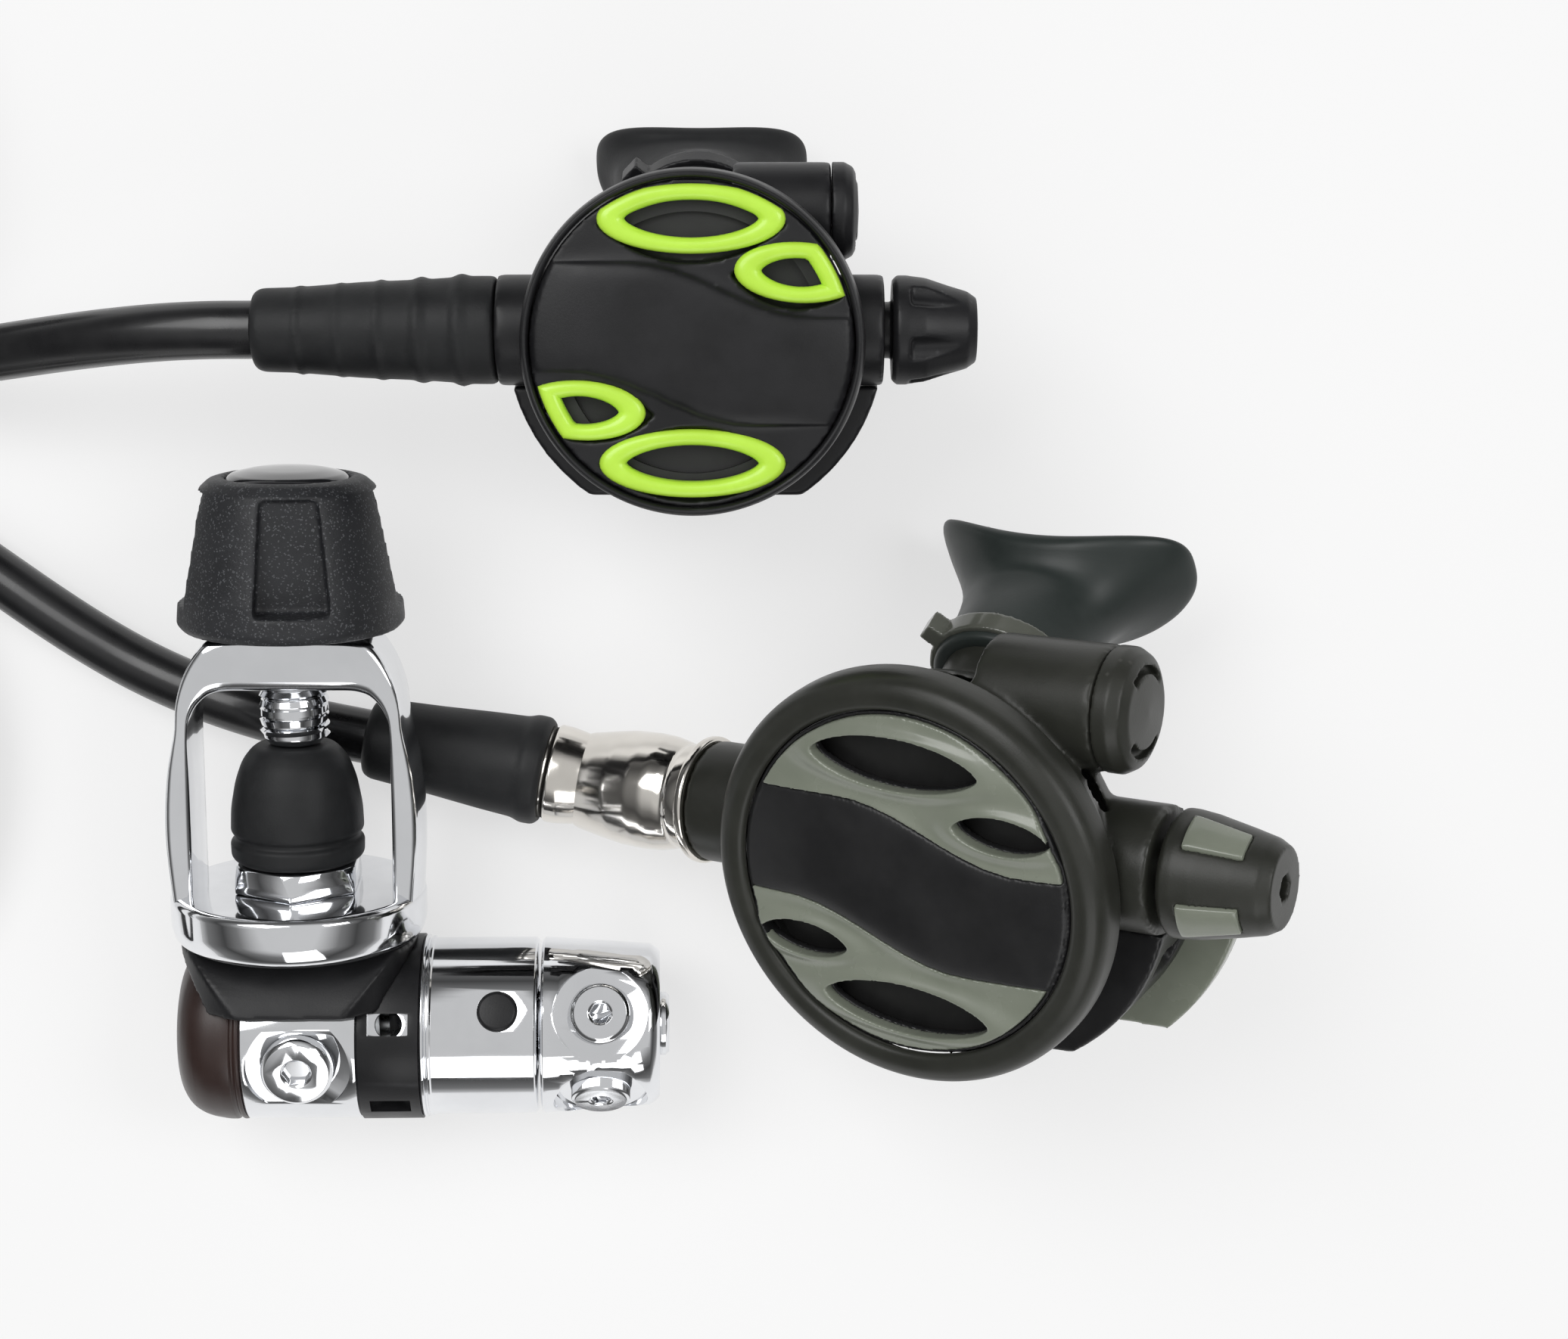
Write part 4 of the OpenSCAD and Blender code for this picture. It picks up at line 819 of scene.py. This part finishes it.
stages = {
    # disc: radius of the round front inside the cover ring; eyes: place, opening, turn of each opening
    "alternate": {"ringRadius": 36.0, "tubeRadius": 11.8, "rise": 1.6, "disc": 33.6, "ridge": 0.0, "eyes": [
        ((0, 25.5), (27.5, 7.6), 0), ((22.1, 14.6), (15.5, 5.8), -3),
        ((0, -24.6), (27.5, 7.6), 0), ((-23.0, -13.6), (15.5, 5.8), -3)]},
    "primary": {"ringRadius": 45.0, "tubeRadius": 13.4, "rise": 1.5, "disc": 37.4, "ridge": 1.3, "eyes": [
        ((0, 26.7), (38, 11), -3), ((23.4, 14.4), (21, 7.6), -4),
        ((0, -27.3), (38, 11), -3), ((-23.4, -15.2), (21, 7.6), -4)]},
}
ringDepth = 9.0
ringWall = 2.4
tubeUp = 2.0
tubeGap = 0.3
eyeSides = 48
# The wavy step across a panel, in shares of its radius, and how the relief fades out below the top
wave = {"height": 0.30, "swing": 0.155, "start": 0.35, "span": 1.05, "soft": 0.03, "below": 3.4,
        "fade": 3.0, "dome": 0.5, "ridgeWidth": 1.7}


def tubeLevel(unit):
    return -ringDepth - stages[unit]["tubeRadius"] - tubeGap


def crownOf(unit):
    own, place = stages[unit], stageFrame[unit]
    back = place.inverted()
    r = own["ringRadius"] * own["disc"] / (own["ringRadius"] - ringWall)
    shrink = own["disc"] / (own["ringRadius"] - ringWall)

    def crown(point):
        local = back @ Vector(point)
        share = min(1.0, max(0.0, (local.z + wave["below"]) / wave["fade"]))
        local.x *= shrink
        local.y *= shrink
        edge = max(0.0, 1 - (local.xy.length / own["disc"]) ** 4)
        lift = 0.0
        for side in (1, -1):
            u, v = local.x * side, local.y * side
            along = min(1, max(0, (u / r + wave["start"]) / wave["span"]))
            line = r * (wave["height"] + wave["swing"] * math.cos(math.pi * along))
            lift += 1 / (1 + math.exp(-(line - v) / (r * wave["soft"])))
        local.z += (lift - 1) * own["rise"] * edge * share + wave["dome"] * edge * share
        for at, size, turn in own["eyes"]:  # a soft ridge round each opening
            off = Vector((local.x - at[0], local.y - at[1])).copy()
            off.rotate(Matrix.Rotation(math.radians(-turn), 2))
            gap = (math.hypot(off.x / size[0] * 2, off.y / size[1] * 2) - 1) * size[1] / 2
            local.z += own["ridge"] * math.exp(-(gap / wave["ridgeWidth"]) ** 2) * share
        return place @ local
    return crown


def makeCoverRing(unit):
    r, disc = stages[unit]["ringRadius"], stages[unit]["disc"]
    inner, lip = r - 2.1, disc + 0.25
    wide = r - lip
    profile = [(inner, -ringDepth), (inner, -1.2), (lip, -1.2), (lip, 0.1), (lip + wide * 0.12, 0.9),
               (lip + wide * 0.45, 1.2), (r - wide * 0.2, 0.0), (r - 0.3, -2.0), (r, -4.2),
               (r, -ringDepth + 1.2), (r - 0.9, -ringDepth), (inner, -ringDepth)]
    revolved(unit + "_cover_ring", unit + "_ring", profile, stageFrame[unit], reach=1.1, steps=160)


def lensPoints(width, depth, turn, at, power=1.35):
    points = []
    for k in range(eyeSides):
        a = 2 * math.pi * k / eyeSides
        x, y = math.cos(a), math.copysign(abs(math.sin(a)) ** power, math.sin(a))
        point = Vector((x * width / 2, y * depth / 2))
        point.rotate(Matrix.Rotation(math.radians(turn), 2))
        points.append(point + Vector(at))
    return points


def cutter(unit):
    bm = bmesh.new()
    shrink = (stages[unit]["ringRadius"] - ringWall) / stages[unit]["disc"]
    for at, size, turn in stages[unit]["eyes"]:
        outline = [p * shrink for p in lensPoints(size[0], size[1], turn, at)]
        loft(bm, [[stageFrame[unit] @ Vector((*p, z)) for p in outline] for z in (-8, 6)])
    return meshFrom(outward(bm), unit + "Cutter")


limeRing = {
    "grow": (11.2, 6.6), "outerEdge": 0.5, "innerEdge": 4.2,
    # share of the way from the outer to the inner outline, and height
    "section": [(0, -2.2), (0, 0.0), (0.06, 0.55), (0.2, 0.95), (0.45, 1.15), (0.72, 1.0), (0.92, 0.5),
                (1, -0.2), (1, -2.2)],
}


def makeLimeRings():
    unit = "alternate"
    place, own = stageFrame[unit], stages[unit]
    bm = bmesh.new()
    for at, size, turn in own["eyes"]:
        outer = lensPoints(size[0] + limeRing["grow"][0], size[1] + limeRing["grow"][1], turn, at, power=1)
        inner = lensPoints(size[0], size[1], turn, at)
        outer = [o * min(1, (own["disc"] - limeRing["outerEdge"]) / o.length) for o in outer]
        inner = [i * min(1, (own["disc"] - limeRing["innerEdge"]) / i.length) for i in inner]
        rows = [[place @ Vector((*(o * (1 - share) + i * share), z)) for o, i in zip(outer, inner)]
                for share, z in limeRing["section"]]
        loft(bm, rows, closed=True)
    mesh = meshFrom(outward(bm), "limeRings")
    addPiece("alternate_lime_rings", mesh, "alternate_cover_inserts", sharp=60)


# Lengths along the mouthpiece and its flange, for a cover ring of the radius given; bore and sleeve stay
mouth = {"ringRadius": 36.0, "lean": 27.0, "up": 12.0, "sleeveFrom": 17.0, "flangeAt": 41.0, "socket": 6.0,
         "bore": 8.5, "sleeve": 15.1, "bend": 36.0, "halfWidth": 24.0, "halfHeight": 12.5}


def mouthFrame(unit):
    g = stages[unit]["ringRadius"] / mouth["ringRadius"]
    lean = Matrix.Rotation(math.radians(180 + mouth["lean"]), 4, "X") @ Matrix.Rotation(math.pi, 4, "Z")
    return stageFrame[unit] @ Matrix.Translation((0, mouth["up"] * g, tubeLevel(unit))) @ lean, g


def ovalRing(place, halfWidth, halfHeight, station, bend, power, count=72):
    points = []
    for k in range(count):
        a = 2 * math.pi * k / count
        c, s = math.cos(a), math.sin(a)
        x = halfWidth * math.copysign(abs(c) ** (2 / power), c)
        y = halfHeight * math.copysign(abs(s) ** (2 / power), s)
        forward = bend - math.sqrt(max(bend ** 2 - x ** 2, 1)) if bend else 0
        points.append(place @ Vector((x, y, station + forward)))
    return points


# Where the two tabs between the teeth lie; rows of distance from the flange and share of the full size
biteTab = {"off": 16, "halfThick": 3.0, "halfHeight": 5.0, "sides": 20, "rows": [
    (3.0, 0.9), (5.0, 1.0), (8, 0.9), (12, 0.92), (14.4, 1.05), (15.6, 0.8), (16, 0.4)]}


def makeMouthpiece(unit):
    place, g = mouthFrame(unit)
    start, flange = [mouth[name] * g + mouth["socket"] for name in ("sleeveFrom", "flangeAt")]
    hw, hh, bend = [mouth[name] * g for name in ("halfWidth", "halfHeight", "bend")]
    bore, sleeve = mouth["bore"], mouth["sleeve"]
    rows = [  # half width, half height, station, bend, squareness
        (sleeve - 1.2, sleeve - 1.2, start - 0.2, 0, 2), (sleeve - 0.1, sleeve - 0.1, start + 0.1, 0, 2),
        (sleeve + 0.5, sleeve + 0.5, start + 1.0, 0, 2), (sleeve + 0.2, sleeve + 0.2, start + 6, 0, 2),
        (sleeve, sleeve, start + 8, 0, 2), (sleeve + 0.2, sleeve - 0.6, start + 12, 0, 2),
        (sleeve + 1.6, sleeve - 2.2, flange - 9, 0, 2.1),
        (sleeve + 4.2, sleeve - 3.4, flange - 5.5, bend * 2, 2.2),
        (hw * 0.82, hh * 0.92, flange - 2.2, bend * 1.2, 2.4), (hw * 0.95, hh, flange - 1.3, bend, 2.6),
        (hw, hh + 0.4, flange - 0.3, bend, 2.7), (hw + 0.5, hh + 0.7, flange + 0.9, bend, 2.7),
        (hw, hh + 0.3, flange + 2.2, bend, 2.7), (hw * 0.93, hh * 0.9, flange + 2.9, bend, 2.6),
        (hw * 0.7, hh * 0.8, flange + 2.7, bend, 2.3), (bore + 3.5, bore * 0.85, flange + 2.6, bend, 2),
        (bore + 1.2, bore * 0.62, flange + 2.0, bend, 2), (bore + 0.3, bore * 0.6, flange, 0, 2),
        (bore, bore * 0.8, flange - 6, 0, 2), (bore, bore, start + 9, 0, 2), (bore, bore, start, 0, 2)]
    bm = bmesh.new()
    loft(bm, [ovalRing(place, *row) for row in rows], closed=True)
    angles = [2 * math.pi * k / biteTab["sides"] for k in range(biteTab["sides"])]
    for side in (-1, 1):
        middle = side * biteTab["off"] * g
        loft(bm, [[place @ Vector((middle + biteTab["halfThick"] * size * math.cos(a),
                                   biteTab["halfHeight"] * size * math.sin(a), flange + station))
                   for a in angles] for station, size in biteTab["rows"]])
    mesh = applied(unit, meshFrom(outward(bm), unit + "Mouth"),
                   [("SUBSURF", {"levels": 1, "render_levels": 1})])
    addPiece(unit + "_mouthpiece_soft", mesh, unit + "_mouthpiece", sharp=70)


for unit in stages:
    makeCoverRing(unit)
    makeMouthpiece(unit)
    crown = crownOf(unit)
    moulded(unit + "_purge_panel", 0.45, 3, change=crown, cut=cutter(unit))
    moulded(unit + "_case", 0.75, 9)
    moulded(unit + "_exhaust_tee", 0.6, 7)
    moulded(unit + "_side_plug", 0.4, 3)
    moulded(unit + "_tie", 0.4, 3)
    moulded(unit + "_knob", 0.38, 4)
makeLimeRings()
moulded("primary_cover_inserts", 0.38, 4, change=crownOf("primary"), cut=cutter("primary"))
moulded("primary_deflectors", 0.55, 7)
machined("primary_knob_inserts", 0.3)
print("stage: second stages")


swivel = {"ballAt": -88.0, "ball": 9.2, "inlet": -59.0, "shoulder": 2.45, "ring": 2.4, "yaw": 169.0,
          "pitch": 2.5, "boot": 42.0, "bootFrom": 14.0, "lip": 12.4}


def tubeFrame(unit, u):
    return stageFrame[unit] @ Matrix.Translation((u, tubeUp, tubeLevel(unit))) @ alongX


def makeSwivel():
    reach = swivel["inlet"] - swivel["shoulder"] - swivel["ballAt"]
    housing = [(9.3, -3.0), (9.6, -5.6), (10.4, -6), (11.2, -4.6), (11.6, -2), (12.3, 2), (13.0, 7),
               (13.2, 13), (12.9, 17), (12.1, 20.5), (11.6, 22), (12.0, 23), (12.0, reach), (4, reach),
               (4, 8), (9.3, -3.0)]
    revolved("swivel_housing_turned", "primary_swivel_housing", housing,
             tubeFrame("primary", swivel["ballAt"]), reach=0.9)
    r = stages["primary"]["tubeRadius"] + 0.8
    ring = [(6.1, 0), (r - 0.5, 0), (r, 0.5), (r, 1.8), (r - 0.5, 2.3), (6.1, 2.3), (6.1, 0)]
    revolved("inlet_ring_turned", "primary_inlet_ring", ring,
             tubeFrame("primary", swivel["inlet"] - swivel["ring"]), reach=0.4)
    place = stageFrame["primary"] @ Vector((swivel["ballAt"], tubeUp, tubeLevel("primary")))
    turn = Matrix.Rotation(math.radians(swivel["yaw"]), 4, "Z") @ Matrix.Rotation(
        math.radians(90 + swivel["pitch"]), 4, "Y")
    hoseWay = Matrix.Translation(place) @ turn @ Matrix.Scale(mm, 4)
    b = swivel["ball"]
    arc = [math.radians(a) for a in range(8, 99, 6)]
    ball = [(0, -b)] + [(b * math.sin(a), -b * math.cos(a)) for a in arc] + [
        (9.6, 2.6), (10.6, 6.5), (11.2, 10), (11.3, 12.6), (10.4, 13.4), (10.4, 17.5), (0, 17.5)]
    revolved("swivel_ball_turned", "primary_swivel_ball", ball, hoseWay, reach=0.5)
    lip, length = swivel["lip"], swivel["boot"]
    boot = [(10.45, 3.6), (10.45, 0.6), (11.2, 0), (lip, 1.2), (lip + 0.1, 4.2), (11.7, 6.2), (11.2, 14),
            (10.2, 26), (9.3, length - 2.2), (8.4, length - 0.5), (6.3, length - 0.5), (6.25, 3.6),
            (10.45, 3.6)]
    revolved("primary_boot_rubber", "primary_boot", boot,
             hoseWay @ Matrix.Translation((0, 0, swivel["bootFrom"])), reach=1.4)


scallops = {"length": 52.0, "at": -42.1, "from": 7.5, "start": 11.6, "end": 9.1, "count": 5, "spacing": 8.6,
            "wire": 2.6, "proud": 0.45}


def makeLongBoot():
    r, length = stages["alternate"]["tubeRadius"], scallops["length"]
    place = tubeFrame("alternate", scallops["at"]) @ Matrix.Rotation(math.pi, 4, "Y")
    profile = [(6.25, 0), (r - 0.9, 0), (r - 0.3, 0.7), (r - 0.3, 5), (r - 1.0, 15), (r - 1.6, 29),
               (r - 2.7, 43), (r - 2.9, length - 1.6), (r - 3.8, length), (6.25, length), (6.25, 0)]
    bm = bmesh.new()
    lathe(bm, soften(profile, 1.2), place)
    outward(bm)
    inset = scallops["wire"] - scallops["proud"]
    repeated(bm, ringRow, place @ Matrix.Translation((0, 0, scallops["from"])),
             {"Count": scallops["count"], "Spacing": scallops["spacing"],
              "First Radius": scallops["start"] - inset, "Last Radius": scallops["end"] - inset,
              "Wire": scallops["wire"]}, materials["black_rubber"])
    mesh = applied("longBoot", meshFrom(bm, "longBoot"), [
        ("REMESH", {"mode": "VOXEL", "voxel_size": 0.5 * mm}),
        ("SMOOTH", {"factor": 0.5, "iterations": 6})])
    mesh.materials.clear()
    addPiece("alternate_boot_rubber", mesh, "alternate_boot", sharp=60)


makeSwivel()
makeLongBoot()
print("stage: swivel and boots")
